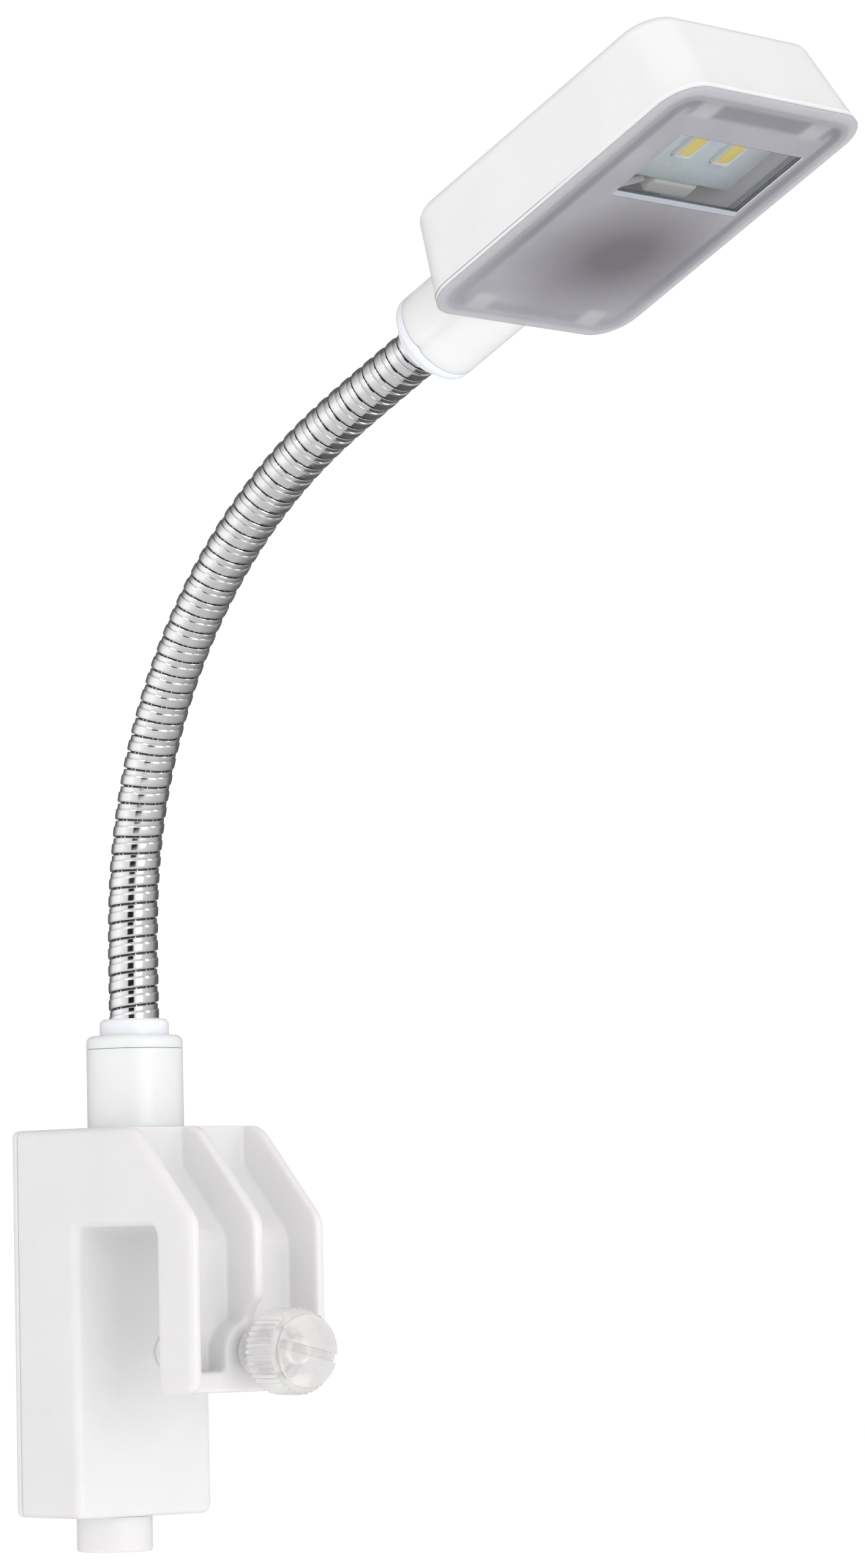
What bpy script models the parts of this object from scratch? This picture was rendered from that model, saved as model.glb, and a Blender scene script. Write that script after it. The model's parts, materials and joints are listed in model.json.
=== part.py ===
"""Small clamp-on reading lamp: ribbed plastic C clamp with a clear thumb screw, chromed gooseneck,
and a flat white head with a frosted lens over a board of LEDs.

Frame: the origin is the middle of the clamp gap's ceiling, which rests on the edge that the lamp is
clamped to. +X runs from the clamp's leg to its screw arm, +Z up along the stem. Metres.
"""
import math

import bmesh
import bpy
from mathutils import Matrix, Vector

MM = 0.001
CLEAR = 0.3  # gap between pieces that touch, mm
PAST = 5.0  # how far a cutter runs past the surface that it cuts, mm

# Clamp, mm
GAP = 16.7
LEG_THICK = 13.8
ARM_THICK = 7.6
DEPTH = 21.7
TOP = 12.7
LEG_DROP = 37.1
ARM_DROP = 21.1
ARM_FOOT_ROUND = 2.0  # the ribs' outer bottom corners
WALL = 1.6
CHAMFER = 12.0  # the arm's outer top corner, cut at 45 degrees
CHAMFER_BEND = 3.5  # radius where the cut meets the top and the arm's outer edge
GAP_ROUND = 1.6
EDGE_ROUND = 0.9
LEG_IN = -GAP / 2
LEG_OUT = LEG_IN - LEG_THICK
ARM_IN = GAP / 2
ARM_OUT = ARM_IN + ARM_THICK
RIB_THICK = 1.6
WEB_THICK = 1.8
WEB_TOP_X = 1.25
WEB_SLOPE_Z = 7.4
WEB_EASE = 0.8
WEB_UPRIGHT_Z = -2.2
FOOT_Z = -8.2  # where the middle rib starts to curve in above the boss
FOOT_RADIUS = 2.4
FOOT_TURN = 60
FOOT_END_Z = -11.6
BOSS_RADIUS = 4.0
BOSS_DROP = 2.1  # from the ribs' outer edge to the boss's face
FLANGE_HEIGHT = 2.7
BOSS_FACE = ARM_OUT - BOSS_DROP
COVER_THICK = 1.4
COVER_FACE = LEG_OUT + COVER_THICK
COVER_ROUND = 0.4
POST_RADIUS = 2.4
POST_HOLE = 1.1
SCREW_REACH = 8.0
POSTS = [(-6.2, -4.0), (6.2, -29.0)]  # (y, z) of the two posts that the rear cover screws into

# Thumb screw, mm
SCREW_Z = -16.0
SHANK_RADIUS = 1.5
SHANK_TIP = 1.0
SHANK_IN_KNOB = 4.0
RUNNING_BORE = 1.8  # radius of the holes that the shank runs in
INSERT_RADIUS = 2.4
INSERT_LENGTH = 2.7
INSERT_DEPTH = 0.2
PAD_FACE = -3.65
PAD_THICK = 1.4
PAD_RADIUS = 2.42
HUB_START = 14.9
HUB_RADIUS = 3.15
KNOB_START = 19.1
KNOB_LENGTH = 5.5
KNOB_RADIUS = 5.45
KNOB_RIDGES = 28
RIDGE_DEPTH = 0.35
KNOB_ROUND = 0.5
DISC_RADIUS = 4.6
DISC_THICK = 0.9
DISC_ROUND = 0.25
SLOT_WIDTH = 1.2
SLOT_TILT = math.radians(-13)

# Cable outlet and stem, mm
OUTLET_X = (LEG_IN + LEG_OUT) / 2
OUTLET_RADIUS = 4.9
OUTLET_BORE = 3.1
OUTLET_END = -41.7
OUTLET_NECK = 3.9
OUTLET_HOLE = OUTLET_NECK + CLEAR
OUTLET_HEAD = 5.2
OUTLET_HEAD_THICK = 1.0
STEM_X = -9.4
STEM_RADIUS = 6.24
STEM_TOP = 22.9
STEM_FOOT = 6.4
STEM_NECK = 4.0
STEM_HOLE = STEM_NECK + CLEAR
STEM_BORE = 2.6
HOSE_SEAT = 16.0  # the hose reaches down to here in the stem
NUT_RADIUS = 6.3
NUT_THICK = 2.9
RING_TOP = 24.65
COLLAR_RADIUS = 4.48
COLLAR_TOP = 26.8

# Gooseneck, mm and degrees
HOSE_RADIUS = 3.25
HOSE_BORE = 1.4
HOSE_LENGTH = 103.6
HOSE_IN_HEAD = 9.4  # how far the last length runs on into the neck
HOSE_PLANE = math.radians(7.9)  # the plane that the hose bends in, turned from +X towards +Y
BEND_TOTAL = math.radians(63.0)
BEND_START = 4.5
BEND_END = 96.0
BEND_EASE = 13.0
JOINTS = 12
FIRST_JOINT = 6.0
JOINT_STEP = 8.33
BALL_RADIUS = 2.5
SOCKET_RADIUS = BALL_RADIUS + CLEAR
SHOULDER = 1.4  # from a joint's centre down to the shoulder under its ball
LEAD_RADIUS = 0.6
LEAD_GAP = 0.35

# Head, mm, in its own frame: s along the head from the hose's end, w across, n up from the neck's axis
LENS_FACE = -6.4
HEAD_BACK = 6.1
HEAD_START = 15.6
HEAD_LENGTH = 47.5
HEAD_WIDTH = 35.5
HEAD_CORNER = 5.0
HEAD_DRAFT = 1.6
HEAD_WALL = 1.4
HEAD_CROWN = 1.5  # radius of the edge round the head's back
NECK_RADIUS = 6.1
COLLAR_START = 1.2
COLLAR_LENGTH = 0.9
RING_START = COLLAR_START + COLLAR_LENGTH + CLEAR
RING_LENGTH = 1.7
NECK_START = RING_START + RING_LENGTH + CLEAR
LENS_THICK = 1.1
LIP_INSET = 1.95
LIP_THICK = 1.0
LIP_HEIGHT = 1.7
TAB_WIDTH = 4.0
TAB_SPREAD = 10.2
WINDOW_LOW = (42.0, -9.6)  # corners of the lens's opening, s and w
WINDOW_HIGH = (54.6, 13.6)
WINDOW_LAP = 0.9
WINDOW_THICK = 0.8
BOARD = (42.2, 58.0, 14.2)  # start, end and half width
BOARD_FACE = LENS_FACE + 4.2
BOARD_THICK = 1.0
LED_SIZE = (5.7, 3.0, 0.6)
LED_PITCH = 7.2
LED_S = 49.9
BOARD_SCREWS = [(55.4, -11.9), (55.4, 11.9)]
BOARD_SCREW_TIP = 2.6
BOARD_POST_RADIUS = 2.0
BOARD_POST_BORE = 1.0
CONNECTOR_LOW = (39.0, 1.2, -2.1)
CONNECTOR_HIGH = (41.8, 9.6, 0.3)
CONNECTOR_ROUND = 0.6

WHITE = (0.80, 0.80, 0.80)
COOL_WHITE = (0.82, 0.83, 0.87)


def material(name, colour, roughness, metallic=0.0, transmission=0.0):
    found = bpy.data.materials.get(name)
    if found:
        return found
    made = bpy.data.materials.new(name)
    made.use_nodes = True
    shader = made.node_tree.nodes["Principled BSDF"]
    shader.inputs["Base Color"].default_value = (*colour, 1.0)
    shader.inputs["Roughness"].default_value = roughness
    shader.inputs["Metallic"].default_value = metallic
    shader.inputs["Transmission Weight"].default_value = transmission
    return made


def add(name, verts, faces, mat=None, place=Matrix.Identity(4)):
    """A closed mesh object from points in millimetres, put where place says."""
    bm = bmesh.new()
    points = [bm.verts.new(place @ Vector(v)) for v in verts]
    for face in faces:
        bm.faces.new([points[i] for i in face])
    bmesh.ops.recalc_face_normals(bm, faces=bm.faces)
    bmesh.ops.scale(bm, vec=(MM, MM, MM), verts=bm.verts)
    mesh = bpy.data.meshes.new(name)
    bm.to_mesh(mesh)
    bm.free()
    obj = bpy.data.objects.new(name, mesh)
    bpy.context.scene.collection.objects.link(obj)
    if mat:
        mesh.materials.append(mat)
    mesh.shade_smooth()
    mesh.set_sharp_from_angle(angle=math.radians(35))
    return obj


def rings_mesh(rings, capped):
    """Points and faces of rings with the same number of points, joined in order; capped or closed."""
    count = len(rings[0])
    verts = [p for ring in rings for p in ring]
    faces = []
    pairs = len(rings) - 1 if capped else len(rings)
    for k in range(pairs):
        a, b = k * count, ((k + 1) % len(rings)) * count
        for i in range(count):
            j = (i + 1) % count
            faces.append((a + i, a + j, b + j, b + i))
    if capped:
        faces.append(tuple(range(count)))
        faces.append(tuple(range(len(verts) - count, len(verts))))
    return verts, faces


def turned(name, profile, mat=None, sides=24, place=Matrix.Identity(4), capped=False):
    """A turned piece about local Z. The profile is (radius, height) points: a closed loop off the
    axis, or with capped an open line whose two ends are closed flat."""
    rings = []
    for radius, height in profile:
        turn = [2 * math.pi * i / sides for i in range(sides)]
        rings.append([(radius * math.cos(a), radius * math.sin(a), height) for a in turn])
    verts, faces = rings_mesh(rings, capped)
    return add(name, verts, faces, mat, place)


def tube_profile(outer, inner, low, high, ease=0.0):
    """A sleeve's closed profile, with its outer top edge eased by that much."""
    top = [(outer, high)] if ease == 0 else arc(outer - ease, high - ease, ease, 0, 90, 3)
    return [(inner, low), (outer, low), *top, (inner, high)]


def arc(x, y, radius, start, end, steps):
    angles = [math.radians(start + (end - start) * i / steps) for i in range(steps + 1)]
    return [(x + radius * math.cos(a), y + radius * math.sin(a)) for a in angles]


def prism(name, outline, low, high, mat=None, place=Matrix.Identity(4)):
    """The outline, in local XY, extruded along local Z."""
    rings = [[(x, y, z) for x, y in outline] for z in (low, high)]
    verts, faces = rings_mesh(rings, True)
    return add(name, verts, faces, mat, place)


def block(name, low, high, mat=None, place=Matrix.Identity(4)):
    outline = [(low[0], low[1]), (high[0], low[1]), (high[0], high[1]), (low[0], high[1])]
    return prism(name, outline, low[2], high[2], mat, place)


def rounded(length, width, radius, steps=5):
    """A rectangle with round corners about the origin."""
    points = []
    for quarter, (sx, sy) in enumerate([(1, 1), (-1, 1), (-1, -1), (1, -1)]):
        x, y = sx * (length / 2 - radius), sy * (width / 2 - radius)
        points += arc(x, y, radius, quarter * 90, quarter * 90 + 90, steps)
    return points


def round_edges(obj, width, segments=2):
    bevel = obj.modifiers.new("round", "BEVEL")
    bevel.width = width * MM
    bevel.segments = segments
    bevel.limit_method = "ANGLE"
    bevel.angle_limit = math.radians(30)
    return obj


def combine(obj, other, operation):
    """Cuts other from obj, or joins it to obj. other stays as a hidden guide."""
    step = obj.modifiers.new(operation.lower(), "BOOLEAN")
    step.operation = operation
    step.object = other
    other.hide_render = True
    other.display_type = "WIRE"
    return obj


def cut(obj, *others):
    for other in others:
        combine(obj, other, "DIFFERENCE")
    return obj


def join(obj, *others):
    for other in others:
        combine(obj, other, "UNION")
    return obj


def along_x(x, y, z):
    """Local Z runs along +X from that point."""
    return Matrix.Translation((x, y, z)) @ Matrix.Rotation(math.pi / 2, 4, "Y")


def upright(x, y=0.0, z=0.0):
    return Matrix.Translation((x, y, z))


def side_view(name, outline, low, high, mat=None):
    """An outline in X and Z, extruded along Y from low to high."""
    turn = Matrix(((1, 0, 0, 0), (0, 0, 1, 0), (0, 1, 0, 0), (0, 0, 0, 1)))
    return prism(name, outline, low, high, mat, turn)


# ---------------------------------------------------------------- clamp

def bracket():
    """The C-shaped body: hollow leg and bridge, and an arm of three ribs on a thin web."""
    front = COVER_FACE + CLEAR
    bend = CHAMFER_BEND * math.tan(math.radians(22.5))
    outline = [
        (front, -LEG_DROP), (LEG_IN, -LEG_DROP), (LEG_IN, 0),
        *arc(ARM_IN - GAP_ROUND, -GAP_ROUND, GAP_ROUND, 90, 0, 3),
        (ARM_IN, -ARM_DROP),
        *arc(ARM_OUT - ARM_FOOT_ROUND, -ARM_DROP + ARM_FOOT_ROUND, ARM_FOOT_ROUND, -90, 0, 3),
        *arc(ARM_OUT - CHAMFER_BEND, TOP - CHAMFER - bend, CHAMFER_BEND, 0, 45, 2),
        *arc(ARM_OUT - CHAMFER - bend, TOP - CHAMFER_BEND, CHAMFER_BEND, 45, 90, 2),
        (front, TOP),
    ]
    body = side_view("bracket_body", outline, -DEPTH / 2, DEPTH / 2,
                     material("bracket_white", WHITE, 0.42))
    round_edges(body, EDGE_ROUND)

    web = ARM_IN + WEB_THICK
    far = ARM_OUT + PAST
    low = -ARM_DROP - PAST
    flange = -ARM_DROP + FLANGE_HEIGHT
    bay = [
        (WEB_TOP_X, TOP + PAST), (WEB_TOP_X, WEB_SLOPE_Z),
        (web - WEB_EASE, WEB_SLOPE_Z - (web - WEB_EASE - WEB_TOP_X)), (web, WEB_UPRIGHT_Z),
        (web, flange), (BOSS_FACE, flange), (BOSS_FACE, low), (far, low), (far, TOP + PAST),
    ]
    inner = DEPTH / 2 - RIB_THICK
    for side in (-1, 1):
        edges = sorted((side * RIB_THICK / 2, side * inner))
        cut(body, side_view(f"bay_{side}", bay, *edges))
    rib_foot = [
        (BOSS_FACE, low), (far, low), (far, FOOT_Z), (ARM_OUT, FOOT_Z),
        *arc(ARM_OUT - FOOT_RADIUS, FOOT_Z, FOOT_RADIUS, 0, -FOOT_TURN, 3), (BOSS_FACE, FOOT_END_Z),
    ]
    beside = RIB_THICK / 2 + 0.1
    cut(body, side_view("rib_foot", rib_foot, -beside, beside))
    skirt = flange - SCREW_Z - 0.6
    boss = arc(0, 0, BOSS_RADIUS, 0, 180, 8)
    boss += [(-BOSS_RADIUS, skirt), (BOSS_RADIUS, skirt)]
    faces_x = Matrix(((0, 0, 1, 0), (1, 0, 0, 0), (0, 1, 0, SCREW_Z), (0, 0, 0, 1)))
    join(body, prism("boss", boss, web - 0.5, BOSS_FACE + 0.05, None, faces_x))

    back = LEG_OUT - PAST
    side_wall = DEPTH / 2 - WALL
    cut(body,
        block("leg_hollow", (back, -side_wall, -LEG_DROP + WALL), (LEG_IN - WALL, side_wall, TOP - WALL)),
        block("bridge_hollow", (back, -side_wall, WALL), (WEB_TOP_X - WALL, side_wall, TOP - WALL)))
    for k, (y, z) in enumerate(POSTS):
        post = [(POST_RADIUS, 0), (POST_RADIUS, LEG_IN - 1.0 - front)]
        join(body, turned(f"post_{k}", post, None, 12, along_x(front, y, z), True))
        hole = [(POST_HOLE, -PAST), (POST_HOLE, SCREW_REACH)]
        cut(body, turned(f"post_hole_{k}", hole, None, 12, along_x(front, y, z), True))
    outlet_hole = [(OUTLET_HOLE, -WALL - 1), (OUTLET_HOLE, WALL + 1)]
    stem_hole = [(STEM_HOLE, -WALL - 1), (STEM_HOLE, WALL + 1)]
    screw_hole = [(RUNNING_BORE, -PAST), (RUNNING_BORE, ARM_THICK + PAST)]
    seat = INSERT_RADIUS + CLEAR
    insert_hole = [(seat, -INSERT_LENGTH - INSERT_DEPTH - CLEAR), (seat, PAST)]
    cut(body,
        turned("outlet_hole", outlet_hole, None, 24, upright(OUTLET_X, 0, -LEG_DROP), True),
        turned("stem_hole", stem_hole, None, 24, upright(STEM_X, 0, TOP), True),
        turned("screw_hole", screw_hole, None, 24, along_x(ARM_IN, 0, SCREW_Z), True),
        turned("insert_hole", insert_hole, None, 24, along_x(BOSS_FACE, 0, SCREW_Z), True))


def rear_cover():
    """The plate over the open back of the leg and bridge, and its two countersunk screws."""
    outline = [(LEG_OUT, -LEG_DROP), (COVER_FACE, -LEG_DROP), (COVER_FACE, TOP), (LEG_OUT, TOP)]
    cover = side_view("rear_cover", outline, -DEPTH / 2, DEPTH / 2, material("cover_white", WHITE, 0.42))
    round_edges(cover, COVER_ROUND)
    steel = material("screw_steel", (0.55, 0.55, 0.56), 0.3, 1.0)
    head, neck = 2.0, 0.8
    for k, (y, z) in enumerate(POSTS):
        seat = [(head + 0.4, -0.5), (head + 0.4, 0.7), (neck + 0.6, 0.75), (neck + 0.6, 3)]
        cut(cover, turned(f"seat_{k}", seat, None, 16, along_x(LEG_OUT, y, z), True))
        shape = [(head, 0), (head, 0.35), (neck, 0.4), (neck, SCREW_REACH - 1), (0.3, SCREW_REACH)]
        turned(f"cover_screw_{k + 1}", shape, steel, 12, along_x(LEG_OUT + 0.05, y, z), True)


def cable_outlet():
    """The sleeve under the leg that the supply cord passes through."""
    floor = -LEG_DROP + WALL
    profile = [
        (OUTLET_BORE, OUTLET_END), (OUTLET_RADIUS - 0.4, OUTLET_END), (OUTLET_RADIUS, OUTLET_END + 0.4),
        (OUTLET_RADIUS, -LEG_DROP - CLEAR), (OUTLET_NECK, -LEG_DROP - CLEAR), (OUTLET_NECK, floor + CLEAR),
        (OUTLET_HEAD, floor + CLEAR), (OUTLET_HEAD, floor + CLEAR + OUTLET_HEAD_THICK),
        (OUTLET_BORE, floor + CLEAR + OUTLET_HEAD_THICK),
    ]
    turned("cable_outlet", profile, material("outlet_white", WHITE, 0.4), 24, upright(OUTLET_X))


def stem():
    """The stem socket on the bridge, its nut, and the ring and collar that close it round the hose."""
    white = material("stem_white", (0.84, 0.84, 0.84), 0.38)
    cool = material("collar_white", COOL_WHITE, 0.35)
    socket = [
        (STEM_BORE, STEM_FOOT), (STEM_NECK, STEM_FOOT), (STEM_NECK, TOP + CLEAR),
        (STEM_RADIUS, TOP + CLEAR), (STEM_RADIUS, STEM_TOP), (HOSE_RADIUS + CLEAR, STEM_TOP),
        (HOSE_RADIUS + CLEAR, HOSE_SEAT), (STEM_BORE, HOSE_SEAT),
    ]
    turned("stem_socket", socket, white, 32, upright(STEM_X))
    roof = TOP - WALL
    nut_place = upright(STEM_X) @ Matrix.Rotation(math.radians(30), 4, "Z")
    nut = turned("stem_nut", [(NUT_RADIUS, roof - CLEAR - NUT_THICK), (NUT_RADIUS, roof - CLEAR)],
                 material("nut_steel", (0.5, 0.5, 0.5), 0.35, 1.0), 6, nut_place, True)
    cut(nut, turned("nut_hole", [(STEM_HOLE, 0), (STEM_HOLE, TOP)], None, 24, upright(STEM_X), True))
    ring = tube_profile(STEM_RADIUS, HOSE_RADIUS + CLEAR, STEM_TOP + CLEAR, RING_TOP, 0.7)
    turned("stem_ring", ring, white, 32, upright(STEM_X))
    collar = tube_profile(COLLAR_RADIUS, HOSE_RADIUS + CLEAR, RING_TOP + CLEAR, COLLAR_TOP, 0.6)
    turned("lower_collar", collar, cool, 24, upright(STEM_X))


def thumb_screw():
    """Clear knurled knob on a clear shank, its pressure pad, and the brass insert it runs in."""
    clear = material("clear_plastic", (0.93, 0.92, 0.91), 0.08, 0.0, 0.9)
    brass = material("insert_brass", (0.72, 0.55, 0.28), 0.35, 1.0)
    axis = along_x(0, 0, SCREW_Z)
    back = PAD_FACE + PAD_THICK
    tip = SHANK_TIP + CLEAR
    pad = [(PAD_RADIUS - 0.3, PAD_FACE), (PAD_RADIUS, PAD_FACE + 0.3), (PAD_RADIUS, back), (tip, back),
           (tip, back - 0.5 - CLEAR)]
    turned("pressure_pad", pad, clear, 20, axis, True)
    shank = [(SHANK_TIP, back - 0.5), (SHANK_TIP, back + CLEAR), (SHANK_RADIUS, back + CLEAR),
             (SHANK_RADIUS, KNOB_START + SHANK_IN_KNOB)]
    turned("screw_shank", shank, clear, 16, axis, True)
    face = BOSS_FACE - INSERT_DEPTH
    turned("screw_insert", tube_profile(INSERT_RADIUS, RUNNING_BORE, face - INSERT_LENGTH, face), brass, 16,
           axis)

    end = KNOB_START + KNOB_LENGTH
    outer = end + DISC_THICK
    profile = [(HUB_RADIUS - CLEAR, HUB_START), (HUB_RADIUS, HUB_START + CLEAR), (HUB_RADIUS, KNOB_START),
               (KNOB_RADIUS - KNOB_ROUND, KNOB_START), (KNOB_RADIUS, KNOB_START + KNOB_ROUND),
               (KNOB_RADIUS, end - KNOB_ROUND), (KNOB_RADIUS - KNOB_ROUND, end),
               (DISC_RADIUS - DISC_ROUND, end), (DISC_RADIUS, end + DISC_ROUND),
               (DISC_RADIUS, outer - DISC_ROUND), (DISC_RADIUS - DISC_ROUND, outer)]
    sides = KNOB_RIDGES * 2
    rings = []
    for radius, height in profile:
        ridged = KNOB_START < height < end
        ring = []
        for i in range(sides):
            r = radius - (RIDGE_DEPTH if ridged and i % 2 else 0.0)
            a = 2 * math.pi * i / sides
            ring.append((r * math.cos(a), r * math.sin(a), height))
        rings.append(ring)
    verts, faces = rings_mesh(rings, True)
    knob = add("thumb_knob", verts, faces, clear, axis)
    bore_end = KNOB_START + SHANK_IN_KNOB + CLEAR
    cut(knob, turned("knob_bore", [(RUNNING_BORE, BOSS_FACE), (RUNNING_BORE, bore_end)], None, 16, axis,
                     True))
    slot_place = upright(0, 0, SCREW_Z) @ Matrix.Rotation(SLOT_TILT, 4, "X")
    wide = DISC_RADIUS + PAST
    cut(knob, block("knob_slot", (end + CLEAR, -wide, -SLOT_WIDTH / 2),
                    (outer + PAST, wide, SLOT_WIDTH / 2), None, slot_place))


# ---------------------------------------------------------------- gooseneck

def bend_at(s):
    """The hose's lean from vertical after s mm: a steady bend, eased in and out."""
    peak = BEND_TOTAL / (BEND_END - BEND_START - BEND_EASE)
    run = min(max(s - BEND_START, 0), BEND_EASE)
    lean = peak * run * run / (2 * BEND_EASE)
    lean += peak * min(max(s - BEND_START - BEND_EASE, 0), BEND_END - BEND_START - 2 * BEND_EASE)
    rest = min(max(s - BEND_END + BEND_EASE, 0), BEND_EASE)
    return lean + peak * (rest - rest * rest / (2 * BEND_EASE))


def hose_point(s):
    """A point on the hose's centre line, s mm above the lower collar."""
    if s <= 0:
        return Vector((STEM_X, 0, COLLAR_TOP + s))
    steps = max(1, int(s / 0.5))
    out, up = 0.0, COLLAR_TOP
    for i in range(steps):
        lean = bend_at(s * (i + 0.5) / steps)
        out += math.sin(lean) * s / steps
        up += math.cos(lean) * s / steps
    return Vector((STEM_X + out * math.cos(HOSE_PLANE), out * math.sin(HOSE_PLANE), up))


def aimed(start, end):
    """Local Z from start to end, local Y across the hose's plane."""
    z = (end - start).normalized()
    y = Vector((-math.sin(HOSE_PLANE), math.cos(HOSE_PLANE), 0))
    x = y.cross(z)
    m = Matrix((x, y, z)).transposed().to_4x4()
    m.translation = start
    return m


def socket_points():
    return arc(0, 0, SOCKET_RADIUS, 60, 0, 3)


def ball_points(length):
    return arc(0, length, BALL_RADIUS, -34, 56, 4)


def gooseneck():
    """The hose as short rigid lengths, each with a socket below and a ball above, and the lead in it."""
    chrome = material("hose_chrome", (0.78, 0.78, 0.80), 0.12, 1.0)
    jacket = material("lead_white", (0.75, 0.75, 0.72), 0.5)
    centres = [hose_point(FIRST_JOINT + JOINT_STEP * k) for k in range(JOINTS)]
    start = hose_point(-9.8)
    length = (centres[0] - start).length
    stub = [(HOSE_BORE, 0), (HOSE_RADIUS, 0), (HOSE_RADIUS, length - SHOULDER), *ball_points(length)]
    turned("gooseneck_00", stub, chrome, 16, aimed(start, centres[0]))
    for k in range(1, JOINTS):
        a, b = centres[k - 1], centres[k]
        length = (b - a).length
        profile = [(HOSE_RADIUS, 0), (HOSE_RADIUS, length - SHOULDER), *ball_points(length),
                   *socket_points()]
        turned(f"gooseneck_{k:02d}", profile, chrome, 16, aimed(a, b))
        lead = [(LEAD_RADIUS, LEAD_GAP), (LEAD_RADIUS, length - LEAD_GAP)]
        turned(f"lead_{k:02d}", lead, jacket, 8, aimed(a, b), True)
    end = hose_point(HOSE_LENGTH)
    tip = end + (end - hose_point(BEND_END)).normalized() * HOSE_IN_HEAD
    profile = [(HOSE_RADIUS, 0), (HOSE_RADIUS, (tip - centres[-1]).length),
               (HOSE_BORE, (tip - centres[-1]).length), *socket_points()]
    turned(f"gooseneck_{JOINTS:02d}", profile, chrome, 16, aimed(centres[-1], tip))


def cable(name, points, radius, mat):
    """A lead along straight-through points, as a bevelled curve with filled ends."""
    curve = bpy.data.curves.new(name, "CURVE")
    curve.dimensions = "3D"
    curve.bevel_depth = radius * MM
    curve.bevel_resolution = 2
    curve.use_fill_caps = True
    spline = curve.splines.new("POLY")
    spline.points.add(len(points) - 1)
    for point, p in zip(spline.points, points):
        point.co = (*(Vector(p) * MM), 1)
    curve.materials.append(mat)
    obj = bpy.data.objects.new(name, curve)
    bpy.context.scene.collection.objects.link(obj)
    return obj


def smooth(points, steps=6):
    """Points on a smooth curve through the given ones."""
    full = [points[0], *points, points[-1]]
    made = []
    for i in range(1, len(full) - 2):
        p0, p1, p2, p3 = (Vector(p) for p in full[i - 1:i + 3])
        for k in range(steps):
            t = k / steps
            made.append(0.5 * (2 * p1 + (p2 - p0) * t + (2 * p0 - 5 * p1 + 4 * p2 - p3) * t * t
                               + (3 * p1 - p0 - 3 * p2 + p3) * t ** 3))
    return [*made, Vector(points[-1])]


def leads_in_ends(head):
    """The lead in the leg and stem, and the one from the last joint to the board's connector."""
    jacket = material("lead_white", (0.75, 0.75, 0.72), 0.5)
    first = hose_point(FIRST_JOINT)
    low = [(OUTLET_X, 1, -31), (OUTLET_X, 1.5, -22), (OUTLET_X + 1, 1.5, -7), (STEM_X - 2.2, 1, 3),
           (STEM_X, 0, 9), (STEM_X, 0, 18), tuple(first - Vector((0, 0, LEAD_GAP)))]
    cable("lead_00", smooth(low), LEAD_RADIUS, jacket)
    last = hose_point(FIRST_JOINT + JOINT_STEP * (JOINTS - 1))
    into = head @ Vector((8, 0, 0))
    start = last + (into - last).normalized() * LEAD_GAP
    beside = Vector((CONNECTOR_HIGH[0] - 1.3, CONNECTOR_LOW[1] - 0.5, -0.9))
    route = [Vector((8, 0, 0)), Vector((20, 0, 0.3)), Vector((30, -3, 0)), Vector((37.5, -2.6, -0.9)),
             beside]
    high = [tuple(start), *(tuple(head @ point) for point in route)]
    cable(f"lead_{JOINTS:02d}", smooth(high), LEAD_RADIUS, jacket)


# ---------------------------------------------------------------- head

def head_frame():
    """The head's frame: X along it from the hose's end, Y across, Z up from the neck's axis."""
    end = hose_point(HOSE_LENGTH)
    flat = Vector((math.cos(HOSE_PLANE), math.sin(HOSE_PLANE), 0))
    s = flat * math.sin(BEND_TOTAL) + Vector((0, 0, math.cos(BEND_TOTAL)))
    w = Vector((-math.sin(HOSE_PLANE), math.cos(HOSE_PLANE), 0))
    m = Matrix((s, w, s.cross(w))).transposed().to_4x4()
    m.translation = end
    return m


def shell_rings(levels):
    """Rounded rectangles at (n, inset, corner radius), drawn in from the head's outline."""
    middle = HEAD_START + HEAD_LENGTH / 2
    rings = []
    for n, inset, radius in levels:
        outline = rounded(HEAD_LENGTH - 2 * inset, HEAD_WIDTH - 2 * inset, radius)
        rings.append([(middle + x, y, n) for x, y in outline])
    return rings


def draft(n):
    return HEAD_DRAFT * (n - LENS_FACE) / (HEAD_BACK - LENS_FACE)


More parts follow.
